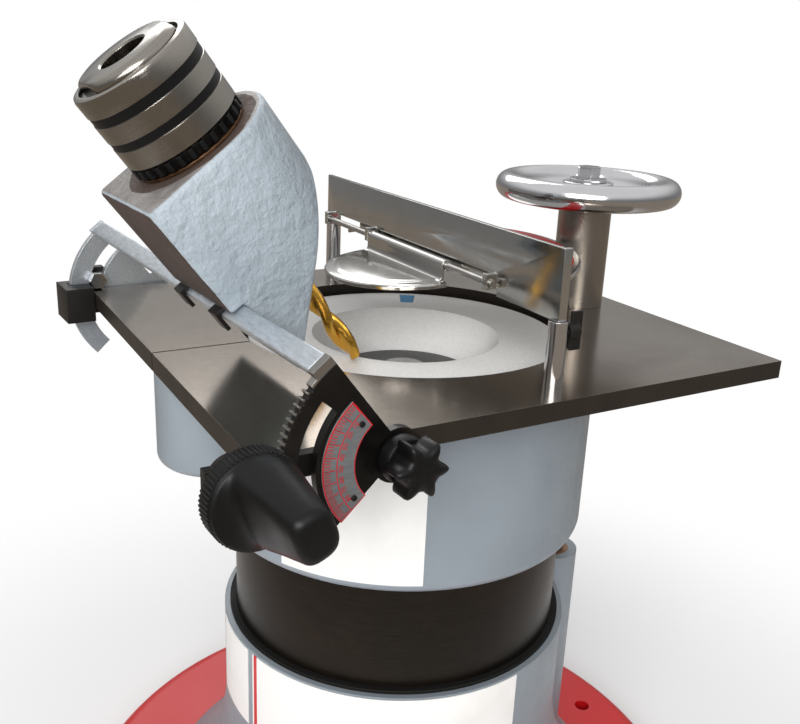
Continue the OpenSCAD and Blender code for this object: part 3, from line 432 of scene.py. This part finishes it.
def meshOf(bm, name, matrix=None, angle=None):
    # the finished bmesh as a mesh, moved into place and smoothed up to an angle
    bmesh.ops.recalc_face_normals(bm, faces=bm.faces)
    if matrix is not None:
        bm.transform(matrix)
    mesh = bpy.data.meshes.new(name)
    bm.to_mesh(mesh)
    bm.free()
    if angle:
        smoothed(mesh, angle)
    return mesh


def lofted(name, rings, matrix=None, angle=None, apex=None):
    # rings of points in mm joined to one closed solid, with flat ends or an apex before the first ring
    bm = bmesh.new()
    rows = [[bm.verts.new([v * mm for v in p]) for p in ring] for ring in rings]
    for a, b in zip(rows, rows[1:]):
        for i in range(len(a)):
            j = (i + 1) % len(a)
            bm.faces.new((a[i], a[j], b[j], b[i]))
    if apex:
        tip = bm.verts.new([v * mm for v in apex])
        for i in range(len(rows[0])):
            bm.faces.new((tip, rows[0][(i + 1) % len(rows[0])], rows[0][i]))
    else:
        bm.faces.new(list(reversed(rows[0])))
    bm.faces.new(rows[-1])
    return meshOf(bm, name, matrix, angle)


def lathe(name, profile, matrix, steps=96, closed=False):
    # profile points are (radius, height, material) in mm, turned round the matrix's z
    bm = bmesh.new()
    angles = [i * 2 * math.pi / steps for i in range(steps)]
    rings = []
    for r, h, *_ in profile:
        if r < 1e-6:
            rings.append([bm.verts.new((0, 0, h * mm))])
        else:
            rings.append([bm.verts.new((r * mm * math.cos(t), r * mm * math.sin(t), h * mm)) for t in angles])
    for k in range(len(rings) if closed else len(rings) - 1):
        a, b = rings[k], rings[(k + 1) % len(rings)]
        for i in range(steps):
            j = (i + 1) % steps
            if len(a) == 1:
                face = bm.faces.new((a[0], b[i], b[j]))
            elif len(b) == 1:
                face = bm.faces.new((a[i], a[j], b[0]))
            else:
                face = bm.faces.new((a[i], a[j], b[j], b[i]))
            face.material_index = profile[k][2] if len(profile[k]) > 2 else 0
    return meshOf(bm, name, matrix, 35)


def block(name, x0, x1, y0, y1, z0, z1, taper=0.0):
    # a small solid in mm whose far end in x is narrower by taper
    ends = []
    for x, t in ((x0, 0.0), (x1, taper)):
        ends.append([(x, y0 + t, z0), (x, y1 - t, z0), (x, y1 - t, z1), (x, y0 + t, z1)])
    return lofted(name, ends)


def baked(obj):
    # the evaluated object as a plain mesh
    deps = bpy.context.evaluated_depsgraph_get()
    mesh = bpy.data.meshes.new_from_object(obj.evaluated_get(deps))
    bpy.data.objects.remove(obj)
    return mesh


# edge widths in mm, angles in degrees
softSet = {"merge": 0.002, "flat": 0.6, "segments": 3, "sharp": 32, "smooth": 40,
           "widths": {"holder_casting": 2.2, "guide_web": 1.0, "rear_bracket": 0.9, "switch_box": 1.6,
                      "guard_plate": 0.45}}


def softCopy(s, node):
    # a copy of a solid with rounded edges, in place of the sharp one
    bm = bmesh.new()
    bm.from_mesh(frame["nodes"][node].data)
    bmesh.ops.remove_doubles(bm, verts=bm.verts, dist=s["merge"] * mm)
    bmesh.ops.dissolve_limit(bm, angle_limit=math.radians(s["flat"]), verts=bm.verts, edges=bm.edges)
    mesh = bpy.data.meshes.new(node + "Soft")
    bm.to_mesh(mesh)
    bm.free()
    tmp = bpy.data.objects.new("softTmp", mesh)
    scene.collection.objects.link(tmp)
    mod = tmp.modifiers.new("round", "BEVEL")
    mod.width, mod.segments, mod.limit_method = s["widths"][node] * mm, s["segments"], "ANGLE"
    mod.angle_limit, mod.use_clamp_overlap, mod.harden_normals = math.radians(s["sharp"]), True, False
    out = baked(tmp)
    out.materials.clear()
    smoothed(out, s["smooth"])
    key = next(k for k, v in nodeFinish.items() if node in v.split())
    return place(node + "Soft", out, bodyOf[node], [key], [node])


for node in softSet["widths"]:
    softCopy(softSet, node)
print("soft edges", len(softSet["widths"]))


# twist drill: two helical flutes and a ground point
drillSet = {"radius": 4.4, "tip": -22.4, "fluteEnd": 44, "runOut": 8, "end": 94.9, "pitch": 46, "web": 0.34,
            "margin": 0.03, "land": 0.62, "heel": 0.86, "blend": 0.5, "round": 0.7, "floor": 0.35,
            "sides": 48, "pointAngle": 62, "start": 0.9, "pointRows": 6, "fine": 1.0, "coarse": 12.0}


def twistDrill(s):
    r = s["radius"]
    cone = r / math.tan(math.radians(s["pointAngle"]))
    heights = [s["tip"] + cone * k / s["pointRows"] for k in range(1, s["pointRows"] + 1)]
    while heights[-1] < s["end"]:
        step = s["fine"] if heights[-1] < s["fluteEnd"] + s["runOut"] else s["coarse"]
        heights.append(min(heights[-1] + step, s["end"]))
    rings = []
    for h in heights:
        cap = min(1.0, (h - s["tip"]) / cone)
        deep = max(0.0, min(1.0, (s["fluteEnd"] + s["runOut"] - h) / s["runOut"]))
        spin = 2 * math.pi * (h - s["tip"]) / s["pitch"] + s["start"]
        ring = []
        for i in range(s["sides"]):
            a = i * 2 * math.pi / s["sides"]
            c = math.cos(2 * a)
            flute = max(0.0, min(1.0, (s["land"] - c) / s["blend"])) ** s["round"]
            margin = s["margin"] if s["land"] < c < s["heel"] else 0.0
            hollow = s["floor"] + (1 - s["floor"]) * max(0, -c)
            q = r * (1 - deep * (flute * (1 - s["web"]) * hollow + margin))
            q = min(q, r * cap if cap < 1 else q)
            ring.append((q * math.cos(a + spin), q * math.sin(a + spin), h))
        rings.append(ring)
    return lofted("twistDrill", rings, drillFrame, 38, (0, 0, s["tip"]))


place("twistDrill", twistDrill(drillSet), "chuck", ["gold"], ["drill_bit"])

# chuck: turned sleeve with two black bands, and the raised rear cap
chuckSet = {"radius": 23.5, "inner": 20.52, "start": 100.8, "end": 131.0, "groove": 0.28,
            "bands": ((109.4, 112.8), (119.6, 123.4))}
capSet = {"flats": 17.4, "profile": ((9.1, 129.2), (9.1, 133.4), (9.7, 134.0), (17.2, 134.0), (18.4, 133.6),
                                     (19.9, 132.3), (20.3, 131.4), (20.3, 129.2))}


def chuckSleeve(s):
    r, g, end = s["radius"], s["groove"], s["end"]
    p = [(s["inner"], s["start"], 0), (r - 1.0, s["start"], 0), (r, s["start"] + 0.9, 0)]
    for a, b in s["bands"]:
        p += [(r, a, 0), (r - g, a + 0.12, 1), (r - g, b - 0.12, 0), (r, b, 0)]
    p += [(r, end - 1.6, 0), (r - 0.4, end - 0.5, 0), (r - 1.6, end, 0), (r - 2.6, end - 0.1, 1)]
    p += [(s["inner"], end - 0.8, 1)]
    return lathe("chuckSleeveTurned", p, drillFrame, 128, True)


def rearCap(s):
    mesh = lathe("chuckRearCap", s["profile"], Matrix.Identity(4))
    for v in mesh.vertices:
        v.co.x = max(-s["flats"] * mm, min(s["flats"] * mm, v.co.x))  # two spanner flats
    mesh.transform(drillFrame)
    return mesh


sleeveFinish = ["chuckSteel", "chuckBand"]
place("chuckSleeveTurned", chuckSleeve(chuckSet), "chuck_ring", sleeveFinish, ["chuck_sleeve"])
place("chuckRearCap", rearCap(capSet), "chuck", ["chuckSteel"], ())


# repeats by Geometry Nodes: copies of a shape turned round the matrix's z axis
def roundRepeat(name, shape, count, first, step, matrix, mat):
    tree = bpy.data.node_groups.new(name + "Tree", "GeometryNodeTree")
    face = tree.interface
    face.new_socket("Geometry", in_out="INPUT", socket_type="NodeSocketGeometry")
    sizes = {"Count": ("NodeSocketInt", count), "First": ("NodeSocketFloat", math.radians(first)),
             "Step": ("NodeSocketFloat", math.radians(step)), "Finish": ("NodeSocketMaterial", finish[mat])}
    values = {}
    for label, (kind, value) in sizes.items():
        values[face.new_socket(label, in_out="INPUT", socket_type=kind).identifier] = value
    face.new_socket("Geometry", in_out="OUTPUT", socket_type="NodeSocketGeometry")
    n = tree.nodes
    gin, gout = n.new("NodeGroupInput"), n.new("NodeGroupOutput")
    index, points = n.new("GeometryNodeInputIndex"), n.new("GeometryNodePoints")
    angle, spin = n.new("ShaderNodeMath"), n.new("ShaderNodeCombineXYZ")
    copies, real = n.new("GeometryNodeInstanceOnPoints"), n.new("GeometryNodeRealizeInstances")
    setMat = n.new("GeometryNodeSetMaterial")
    angle.operation = "MULTIPLY_ADD"  # index times step, plus first
    links = ((index.outputs[0], angle.inputs[0]), (gin.outputs["Step"], angle.inputs[1]),
             (gin.outputs["First"], angle.inputs[2]), (angle.outputs[0], spin.inputs["Z"]),
             (gin.outputs["Count"], points.inputs["Count"]), (points.outputs[0], copies.inputs["Points"]),
             (gin.outputs["Geometry"], copies.inputs["Instance"]),
             (spin.outputs[0], copies.inputs["Rotation"]), (copies.outputs[0], real.inputs[0]),
             (real.outputs[0], setMat.inputs["Geometry"]),
             (gin.outputs["Finish"], setMat.inputs["Material"]), (setMat.outputs[0], gout.inputs[0]))
    for out, into in links:
        tree.links.new(out, into)
    tmp = bpy.data.objects.new(name + "Tmp", shape)
    scene.collection.objects.link(tmp)
    mod = tmp.modifiers.new("repeat", "NODES")
    mod.node_group = tree
    for ident, value in values.items():
        mod[ident] = value
    mesh = baked(tmp)
    mesh.transform(matrix)
    mesh.name = name
    return mesh


# chuck ring: a dark cone with bevel teeth
ringSet = {"teeth": 30, "profile": ((20.52, 96.75), (21.1, 96.75), (22.4, 100.75), (20.52, 100.75)),
           "tooth": (20.8, 23.4, -1.55, 1.55, 96.95, 100.7, 0.75)}
ringCone = lathe("chuckRingCone", ringSet["profile"], drillFrame, 96, True)
place("chuckRingCone", ringCone, "chuck_ring", ["chuckBand"], ())
toothShape = block("ringTooth", *ringSet["tooth"])
toothStep = 360 / ringSet["teeth"]
ringTeeth = roundRepeat("chuckRingTeeth", toothShape, ringSet["teeth"], 0, toothStep, drillFrame, "chuckBand")
place("chuckRingTeeth", ringTeeth, "chuck_ring", [], ())

# handwheel: one smooth dished chrome turning
handSet = {"x": 104.7, "profile": (
    (7.06, 351.35), (15.4, 351.35), (16.0, 351.9), (16.3, 353.0), (18.5, 353.7), (26, 353.4), (31, 353.6),
    (34.6, 354.3), (37.5, 354.6), (40.5, 354.5), (44.0, 355.5), (46.2, 357.9), (47.0, 361.0), (46.2, 364.1),
    (44.0, 366.5), (40.5, 367.5), (37.2, 366.6), (34.9, 364.3), (33.8, 361.2), (32.2, 358.9), (28.5, 357.3),
    (22, 356.7), (16.5, 357.2), (14.2, 358.6), (13.2, 361.0), (12.9, 363.6), (12.4, 364.2), (7.06, 364.2))}


def smoothProfile(points, extra=3):
    # rounds a profile with a few points between each pair
    def curve(a, b, c, d, t):
        square, cube = 2 * a - 5 * b + 4 * c - d, 3 * b - a - 3 * c + d
        return 0.5 * (2 * b + (c - a) * t + square * t * t + cube * t ** 3)
    out = []
    last = len(points) - 1
    for i in range(last):
        near = points[max(0, i - 1)], points[i], points[i + 1], points[min(last, i + 2)]
        for k in range(extra):
            out.append(tuple(curve(*four, k / extra) for four in zip(*near)))
    return out + [points[-1]]


def handwheel(s):
    first, *middle, last = s["profile"]
    return lathe("handwheelTurned", [first] + smoothProfile(middle) + [last], shift(s["x"], 0, 0), 128, True)


place("handwheelTurned", handwheel(handSet), "lift", ["chrome"], ["handwheel"])
print("turned pieces made")


# wing knob: ribbed skirt, tapered face and a broad wing that stands out to the front
wingSet = {"at": (-55.2, -125.5, 0), "skirt": 15.7, "length": 8.2, "face": 15.3, "out": 40.0, "round": 2.8,
           "lean": (2.5, 2.5), "turn": -69, "sides": 72, "hollow": {"depth": 0.14, "at": 24, "reach": 7},
           "ribs": 64, "rib": (15.3, 16.1, -0.46, 0.46, 0.8, 7.4, 0.2),
           "long": ((9.4, 15.3), (10.2, 15.1), (17, 13.4), (40, 7.9)),
           "left": ((9.4, 15.3), (9.9, 11.6), (10.8, 9.0), (12.7, 7.7), (17, 7.0), (28, 6.3), (40, 5.6)),
           "right": ((9.4, 15.3), (12.7, 14.2), (17, 13.0), (28, 10.3), (40, 7.2))}
wingFrame = guideFrame @ shift(*wingSet["at"]) @ turn(90, "X")


def between(table, h):
    # a straight line through the table's points
    for (h0, a), (h1, b) in zip(table, table[1:]):
        if h <= h1:
            return a + (b - a) * max(0.0, (h - h0) / (h1 - h0))
    return table[-1][1]


def wingKnob(s):
    skirt, length, end, hollow = s["skirt"], s["length"], s["out"] - s["round"], s["hollow"]
    foot = length + 1.2
    levels = [(0.0, skirt - 0.8), (0.7, skirt), (length - 0.9, skirt), (length, skirt - 0.9)]
    levels += [(length + 0.7, s["face"] + 0.3)]
    heights = [foot + h for h in (0, 0.2, 0.5, 0.9, 1.4, 2.2, 3.3, 4.8, 6.8, 9.8, 13, 17, 22)] + [end]
    heights += [end + s["round"] * math.sin(math.radians(k)) for k in (15, 30, 45, 58, 70, 80, 90)]
    t = math.radians(s["turn"])
    rings = []
    for h, r in levels + [(h, None) for h in heights]:
        far = max(0.0, h - end) / s["round"]
        cut = s["round"] * (1 - math.sqrt(max(0.0, 1 - far ** 2)))
        lean = max(0.0, h - foot) / (s["out"] - foot)
        halfLong = r or between(s["long"], h) - cut
        thick = [r or between(s[k], h) - cut for k in ("left", "right")]
        power = 1.0 if r else 2 / (2 + 0.9 * min(1.0, (h - foot) / 6))
        ring = []
        for i in range(s["sides"]):
            a = 2 * math.pi * i / s["sides"]
            c, d = math.cos(a), math.sin(a)
            lx = math.copysign(abs(c) ** power, c) * halfLong
            ly = math.copysign(abs(d) ** power, d) * thick[d > 0]
            if not r and h > foot + 2 and d < 0:  # finger hollow
                ly *= 1 - hollow["depth"] * math.exp(-((h - hollow["at"]) / hollow["reach"]) ** 2) * d ** 4
            x = lx * math.cos(t) - ly * math.sin(t) + lean * s["lean"][0]
            y = lx * math.sin(t) + ly * math.cos(t) + lean * s["lean"][1]
            ring.append((x, y, h))
        rings.append(ring)
    return lofted("wingKnobBody", rings, wingFrame, 50)


place("wingKnobBody", wingKnob(wingSet), "pinion", ["black"], ["wing_knob"])
ribShape = block("wingRib", *wingSet["rib"])
ribStep = 360 / wingSet["ribs"]
wingRibs = roundRepeat("wingKnobRibs", ribShape, wingSet["ribs"], 0, ribStep, wingFrame, "black")
place("wingKnobRibs", wingRibs, "pinion", [], ())

# star knob: collar, six finger lobes and a domed face, with its stud
starSet = {"at": (0, -124.3, 0), "valley": 7.0, "lobe": 3.7, "count": 6, "sharp": 2.2, "phase": 0.5,
           "stud": 3, "sides": 120,
           "levels": ((6.2, 0.80, 0.9), (6.5, 0.93, 0.97), (7.2, 1.0, 1.0), (13.6, 1.0, 1.0),
                      (15.0, 0.97, 0.97), (15.8, 0.88, 0.86), (16.25, 0.70, 0.5), (16.5, 0.40, 0.1))}
starFrame = guideFrame @ shift(*starSet["at"]) @ turn(90, "X")


def starKnob(s):
    rings = []
    for h, size, lobes in s["levels"]:
        ring = []
        for i in range(s["sides"]):
            a = 2 * math.pi * i / s["sides"]
            wave = (0.5 + 0.5 * math.cos(s["count"] * a + s["phase"])) ** s["sharp"]
            r = size * s["valley"] + lobes * s["lobe"] * wave
            ring.append((r * math.cos(a), r * math.sin(a), h))
        rings.append(ring)
    return lofted("starKnobBody", rings, starFrame, 50)


def starCollar(s):
    stud = s["stud"]
    p = [(0, -15.0, 1), (stud - 0.4, -15.0, 1), (stud, -14.6, 1), (stud, -0.3, 1), (stud, 0.35), (7.9, 0.35)]
    p += [(8.5, 0.9), (8.5, 5.4), (8.1, 6.1), (6.4, 6.6), (0, 6.6)]
    return lathe("starKnobCollar", p, starFrame, 72)


place("starKnobBody", starKnob(starSet), "star", ["black"], ["star_knob"])
place("starKnobCollar", starCollar(starSet), "star", ["black", "steel"], ())

# protractor scale: red lines, ticks and plain degree numbers on the grey plate
scaleSet = {"front": -124.6, "zero": 182, "ink": 0.06, "arc": (1.2, 93.8), "numbers": range(10, 81, 10),
            "digit": 2.5, "digitRadius": 22.2, "digitLift": 0.04, "steps": 64,
            "lines": {"scaleOuterLine": (28.6, 29.1), "scaleNumberLine": (23.6, 23.95),
                      "scaleInnerLine": (17.05, 17.35)},
            "ticks": {"scaleTicks": (26.2, 28.5, 0.13, 46, 182, 2),
                      "scaleLongTicks": (24.4, 28.5, 0.17, 10, 182, 10),
                      "scaleEndLines": (17.05, 29.1, 0.16, 2, 181.2, 92.6)}}
scaleFrame = tiltFrame @ shift(0, scaleSet["front"], 0) @ turn(90, "X")


def arcBand(name, r0, r1, a0, a1, z0, z1, steps, matrix=None):
    # a flat band round the z axis between two angles in degrees
    corners = (r0, z0), (r1, z0), (r1, z1), (r0, z1)
    rows = []
    for i in range(steps + 1):
        a = math.radians(a0 + (a1 - a0) * i / steps)
        rows.append([(r * math.cos(a), r * math.sin(a), z) for r, z in corners])
    return lofted(name, rows, matrix)


def scaleNumbers(s):
    bm = bmesh.new()
    for value in s["numbers"]:
        curve = bpy.data.curves.new("scaleDigits", "FONT")
        curve.body, curve.size, curve.extrude = str(value), s["digit"] * mm, s["ink"] / 2 * mm
        curve.align_x, curve.align_y = "CENTER", "CENTER"
        tmp = bpy.data.objects.new("digitTmp", curve)
        scene.collection.objects.link(tmp)
        mesh = baked(tmp)
        a = math.radians(s["zero"] + value)
        spot = shift(s["digitRadius"] * math.cos(a), s["digitRadius"] * math.sin(a), s["digitLift"])
        mesh.transform(scaleFrame @ spot @ turn(s["zero"] + value - 90, "Z"))
        bm.from_mesh(mesh)
    numbers = bpy.data.meshes.new("scaleNumbers")
    bm.to_mesh(numbers)
    bm.free()
    return numbers


ink = scaleSet["ink"]
first, last = (180 + a for a in scaleSet["arc"])
for name, (r0, r1) in scaleSet["lines"].items():
    line = arcBand(name, r0, r1, first, last, 0.0, ink, scaleSet["steps"], scaleFrame)
    place(name, line, "guide", ["scaleRed"], ())
for name, (r0, r1, half, count, start, step) in scaleSet["ticks"].items():
    tick = block(name + "One", r0, r1, -half, half, 0.0, ink)
    ticks = roundRepeat(name, tick, count, start, step, scaleFrame, "scaleRed")
    place(name, ticks, "guide", [], ())
place("scaleNumbers", scaleNumbers(scaleSet), "guide", ["scaleRed"], ())
print("knobs and scale made")

# wheel mark: a small plain blue patch on the far inner edge of the wheel's rim
markSet = {"radius": 56.0, "wide": 15.0, "angle": 59.5, "half": 3.4, "z": 295.0, "thick": 0.08, "steps": 8}


def wheelMark(s):
    inner, low = s["radius"], s["z"]
    sweep = s["angle"] - s["half"], s["angle"] + s["half"]
    return arcBand("wheelMark", inner, inner + s["wide"], *sweep, low, low + s["thick"], s["steps"])


place("wheelMark", wheelMark(markSet), "spindle", ["bluePrint"], ())

# guard flap: a stepped half-disc with a turned-down rim, hung from a rolled barrel
flapSet = {"hinge": (5.4, 11.0, 333.0), "drop": 7.0, "tilt": 3.0, "foot": -1.4, "length": 72.0, "steps": 72,
           "section": ((0, 0.8), (31.6, 0.8), (32.5, 0.66), (33.5, 0.12), (34.3, 0), (37.2, 0), (38.0, -0.24),
                       (38.5, -0.9), (38.5, -2.4), (37.6, -2.4), (37.5, -1.2), (33.5, -1.1), (32.5, -0.4),
                       (0, -0.4)),
           "foldStart": ((-5.6, -7.35), (-4.4, -7.05), (-3.4, -6.6), (-2.75, -5.7), (-2.55, -4.4),
                         (-2.62, -1.6)),
           "foldEnd": ((-1.34, -1.7), (-1.32, -4.4), (-1.35, -6.2), (-1.5, -7.9), (-5.6, -8.1)),
           "barrel": ((2.7, range(196, -115, -10)), (1.62, range(-114, 197, 10)))}
# red cover: the fixed half-disc right of the plate, with a red band near its rim
coverSet = {"at": (10.45, 9.0, 329.5), "bend": 0.6, "tilt": 4.0, "half": 61.8, "steps": 96,
            "painted": (1, 2, 3),
            "section": ((0, 0.8), (61.0, 0.8), (72.2, 0.8), (73.0, 0.66), (73.9, 0.12), (74.5, 0), (75.9, 0),
                        (76.7, -0.24), (77.2, -0.9), (77.2, -2.4), (76.1, -2.4), (76.0, -1.2), (73.9, -1.1),
                        (73.0, -0.4), (0, -0.4)),
            "fold": ((4.2, 0.5), (2.6, 0.25), (1.8, 0.45), (1.35, 1.0), (1.2, 2.0), (1.2, 10.8), (0, 10.8),
                     (0, 1.4), (0.2, 0.2), (0.9, -0.7), (2.2, -1.0), (4.2, -0.85))}


def halfDisc(name, s, side, matrix):
    # a stepped half-disc with a turned-down rim; the painted steps of its section get the second finish
    bm = bmesh.new()
    section, painted = s["section"], s.get("painted", ())
    top, low = (bm.verts.new((0, 0, z * mm)) for z in (section[0][1], section[-1][1]))
    fans = []
    for i in range(s["steps"] + 1):
        a = math.pi * i / s["steps"]
        x, y = side * mm * math.sin(a), mm * math.cos(a)
        fans.append([top] + [bm.verts.new((r * x, r * y, z * mm)) for r, z in section[1:-1]] + [low])
    for a, b in zip(fans, fans[1:]):
        bm.faces.new((top, a[1], b[1]))
        bm.faces.new((low, b[-2], a[-2]))
        for k in range(1, len(a) - 2):
            bm.faces.new((a[k], a[k + 1], b[k + 1], b[k])).material_index = int(k in painted)
    bm.faces.new(fans[0])
    bm.faces.new(list(reversed(fans[-1])))
    return meshOf(bm, name, matrix, 30)


def strip(name, path, half, at):
    # a closed outline in x and z, drawn out along y to both sides
    return lofted(name, [[(x, y, z) for x, z in path] for y in (-half, half)], shift(*at), 40)


def rolled(s):
    # the flap's strip: foot, riser and barrel round the rod
    path = list(s["foldStart"])
    for r, angles in s["barrel"]:
        path += [(r * math.cos(math.radians(a)), r * math.sin(math.radians(a))) for a in angles]
    return path + list(s["foldEnd"])


hinge, cover = flapSet["hinge"], coverSet["at"]
flapAt = shift(hinge[0] + flapSet["foot"], hinge[1], hinge[2] - flapSet["drop"])
coverAt = shift(cover[0] + coverSet["bend"], cover[1], cover[2])
flapSheet = halfDisc("guardFlapSheet", flapSet, -1, flapAt @ turn(-flapSet["tilt"], "Y"))
place("guardFlapSheet", flapSheet, "flap", ["sheet"], ["guard_flap"])
flapBarrel = strip("guardFlapBarrel", rolled(flapSet), flapSet["length"] / 2, hinge)
place("guardFlapBarrel", flapBarrel, "flap", ["sheet"], ())
coverSheet = halfDisc("redCoverSheet", coverSet, 1, coverAt @ turn(-coverSet["tilt"], "Y"))
place("redCoverSheet", coverSheet, "guard", ["sheet", "red"], ["red_cover"])
coverFold = strip("redCoverFold", coverSet["fold"], coverSet["half"], cover)
place("redCoverFold", coverFold, "guard", ["sheet"], ())
print("guard made")

# camera, floor and light
cameraSet = {"at": (-0.2195, -0.372, 0.426), "right": (0.867, -0.496, 0.0427),
             "down": (-0.1205, -0.2923, -0.9487), "forward": (0.483, 0.8176, -0.3133),
             "lens": 42.08, "sensor": 36, "shift": (-5 / 800, -7 / 800), "near": 0.01}
camData = bpy.data.cameras.new("photoCamera")
camData.lens, camData.sensor_width, camData.sensor_fit = cameraSet["lens"], cameraSet["sensor"], "HORIZONTAL"
camData.shift_x, camData.shift_y = cameraSet["shift"]
camData.clip_start = cameraSet["near"]
camera = bpy.data.objects.new("photoCamera", camData)
right, down, ahead = (Vector(cameraSet[k]) for k in ("right", "down", "forward"))
facing = Matrix((right, -down, -ahead)).transposed().to_quaternion().normalized()
camera.matrix_world = Matrix.Translation(cameraSet["at"]) @ facing.to_matrix().to_4x4()
scene.collection.objects.link(camera)
scene.camera = camera

# the floor's size in mm, its fade to white in metres from the middle, and its colour in reflections
floorSet = {"half": 4000, "top": -0.2, "bottom": -20, "fade": (0.20, 0.50), "mirrored": (0.34, 0.29, 0.24, 1)}
half = floorSet["half"]
floorMesh = block("floorSheet", -half, half, -half, half, floorSet["bottom"], floorSet["top"])
floor = bpy.data.objects.new("floorSheet", floorMesh)
scene.collection.objects.link(floor)


def floorFinish(s):
    # pale floor that keeps the shadow and fades to plain white further out
    f = Finish("paleFloor")
    mottle = f.mix(f.span(f.noise(3, 2), 0.3, 0.7, 0, 1), (0.88, 0.88, 0.88, 1), (0.92, 0.92, 0.92, 1))
    mat = f.done(mottle, 0.9, 0.0)
    rays = f.add("ShaderNodeLightPath").outputs
    seen = f.sums("MAXIMUM", rays["Is Glossy Ray"], rays["Is Transmission Ray"])
    seen = f.sums("MAXIMUM", rays["Is Camera Ray"], seen)
    away = f.add("ShaderNodeMapRange", interpolation_type="SMOOTHSTEP")
    f.links.new(f.vector("LENGTH", f.coord, None, "Value"), away.inputs["Value"])
    away.inputs["From Min"].default_value, away.inputs["From Max"].default_value = s["fade"]
    glow = f.add("ShaderNodeEmission")
    f.links.new(f.mix(rays["Is Glossy Ray"], (1, 1, 1, 1), s["mirrored"]), glow.inputs["Color"])
    blend = f.add("ShaderNodeMixShader")
    f.links.new(f.sums("MULTIPLY", seen, away.outputs["Result"]), blend.inputs[0])
    f.links.new(f.bsdf.outputs[0], blend.inputs[1])
    f.links.new(glow.outputs[0], blend.inputs[2])
    f.links.new(blend.outputs[0], f.nodes["Material Output"].inputs["Surface"])
    return mat


floorMesh.materials.append(floorFinish(floorSet))

lampSet = {
    "keyLamp": {"at": (-1.0, -0.95, 1.0), "aim": (0, 0, 0.28), "size": 0.8, "power": 14},
    "frontLamp": {"at": (-0.6, -1.15, 0.86), "aim": (0, 0, 0.29), "size": 0.6, "power": 8},
    "rimLamp": {"at": (0.2, 1.1, 1.2), "aim": (0, 0, 0.3), "size": 0.8, "power": 6},
}
for name, s in lampSet.items():
    data = bpy.data.lights.new(name, "AREA")
    data.size, data.energy = s["size"], s["power"]
    lamp = bpy.data.objects.new(name, data)
    lamp.location = s["at"]
    lamp.rotation_euler = (Vector(s["aim"]) - Vector(s["at"])).to_track_quat("-Z", "Y").to_euler()
    scene.collection.objects.link(lamp)

# white round the object, with a dome for reflections that is darker towards the horizon
worldSet = {"diffuse": 0.42, "horizon": (0.02, 0.26), "zenith": (0.62, 1.0)}
world = bpy.data.worlds.new("studio")
scene.world = world
world.use_nodes = True
wn, wl = world.node_tree.nodes, world.node_tree.links
back = wn["Background"]
path = wn.new("ShaderNodeLightPath")
sky = wn.new("ShaderNodeTexCoord")
split = wn.new("ShaderNodeSeparateXYZ")
wl.new(sky.outputs["Generated"], split.inputs[0])
dome = wn.new("ShaderNodeMapRange")
dome.interpolation_type = "SMOOTHSTEP"
for part, key in (("Min", "horizon"), ("Max", "zenith")):
    dome.inputs["From " + part].default_value, dome.inputs["To " + part].default_value = worldSet[key]
wl.new(split.outputs["Z"], dome.inputs["Value"])


def pick(fac, a, b):
    n = wn.new("ShaderNodeMix")
    wl.new(fac, n.inputs[0])
    for k, v in ((2, a), (3, b)):
        if isinstance(v, float):
            n.inputs[k].default_value = v
        else:
            wl.new(v, n.inputs[k])
    return n.outputs[0]


seen = pick(path.outputs["Is Glossy Ray"], worldSet["diffuse"], dome.outputs["Result"])
seen = pick(path.outputs["Is Transmission Ray"], seen, 1.0)
seen = pick(path.outputs["Is Camera Ray"], seen, 1.0)
back.inputs["Color"].default_value = (1, 1, 1, 1)
wl.new(seen, back.inputs["Strength"])
scene.view_settings.view_transform = "Standard"
print("camera and light set")
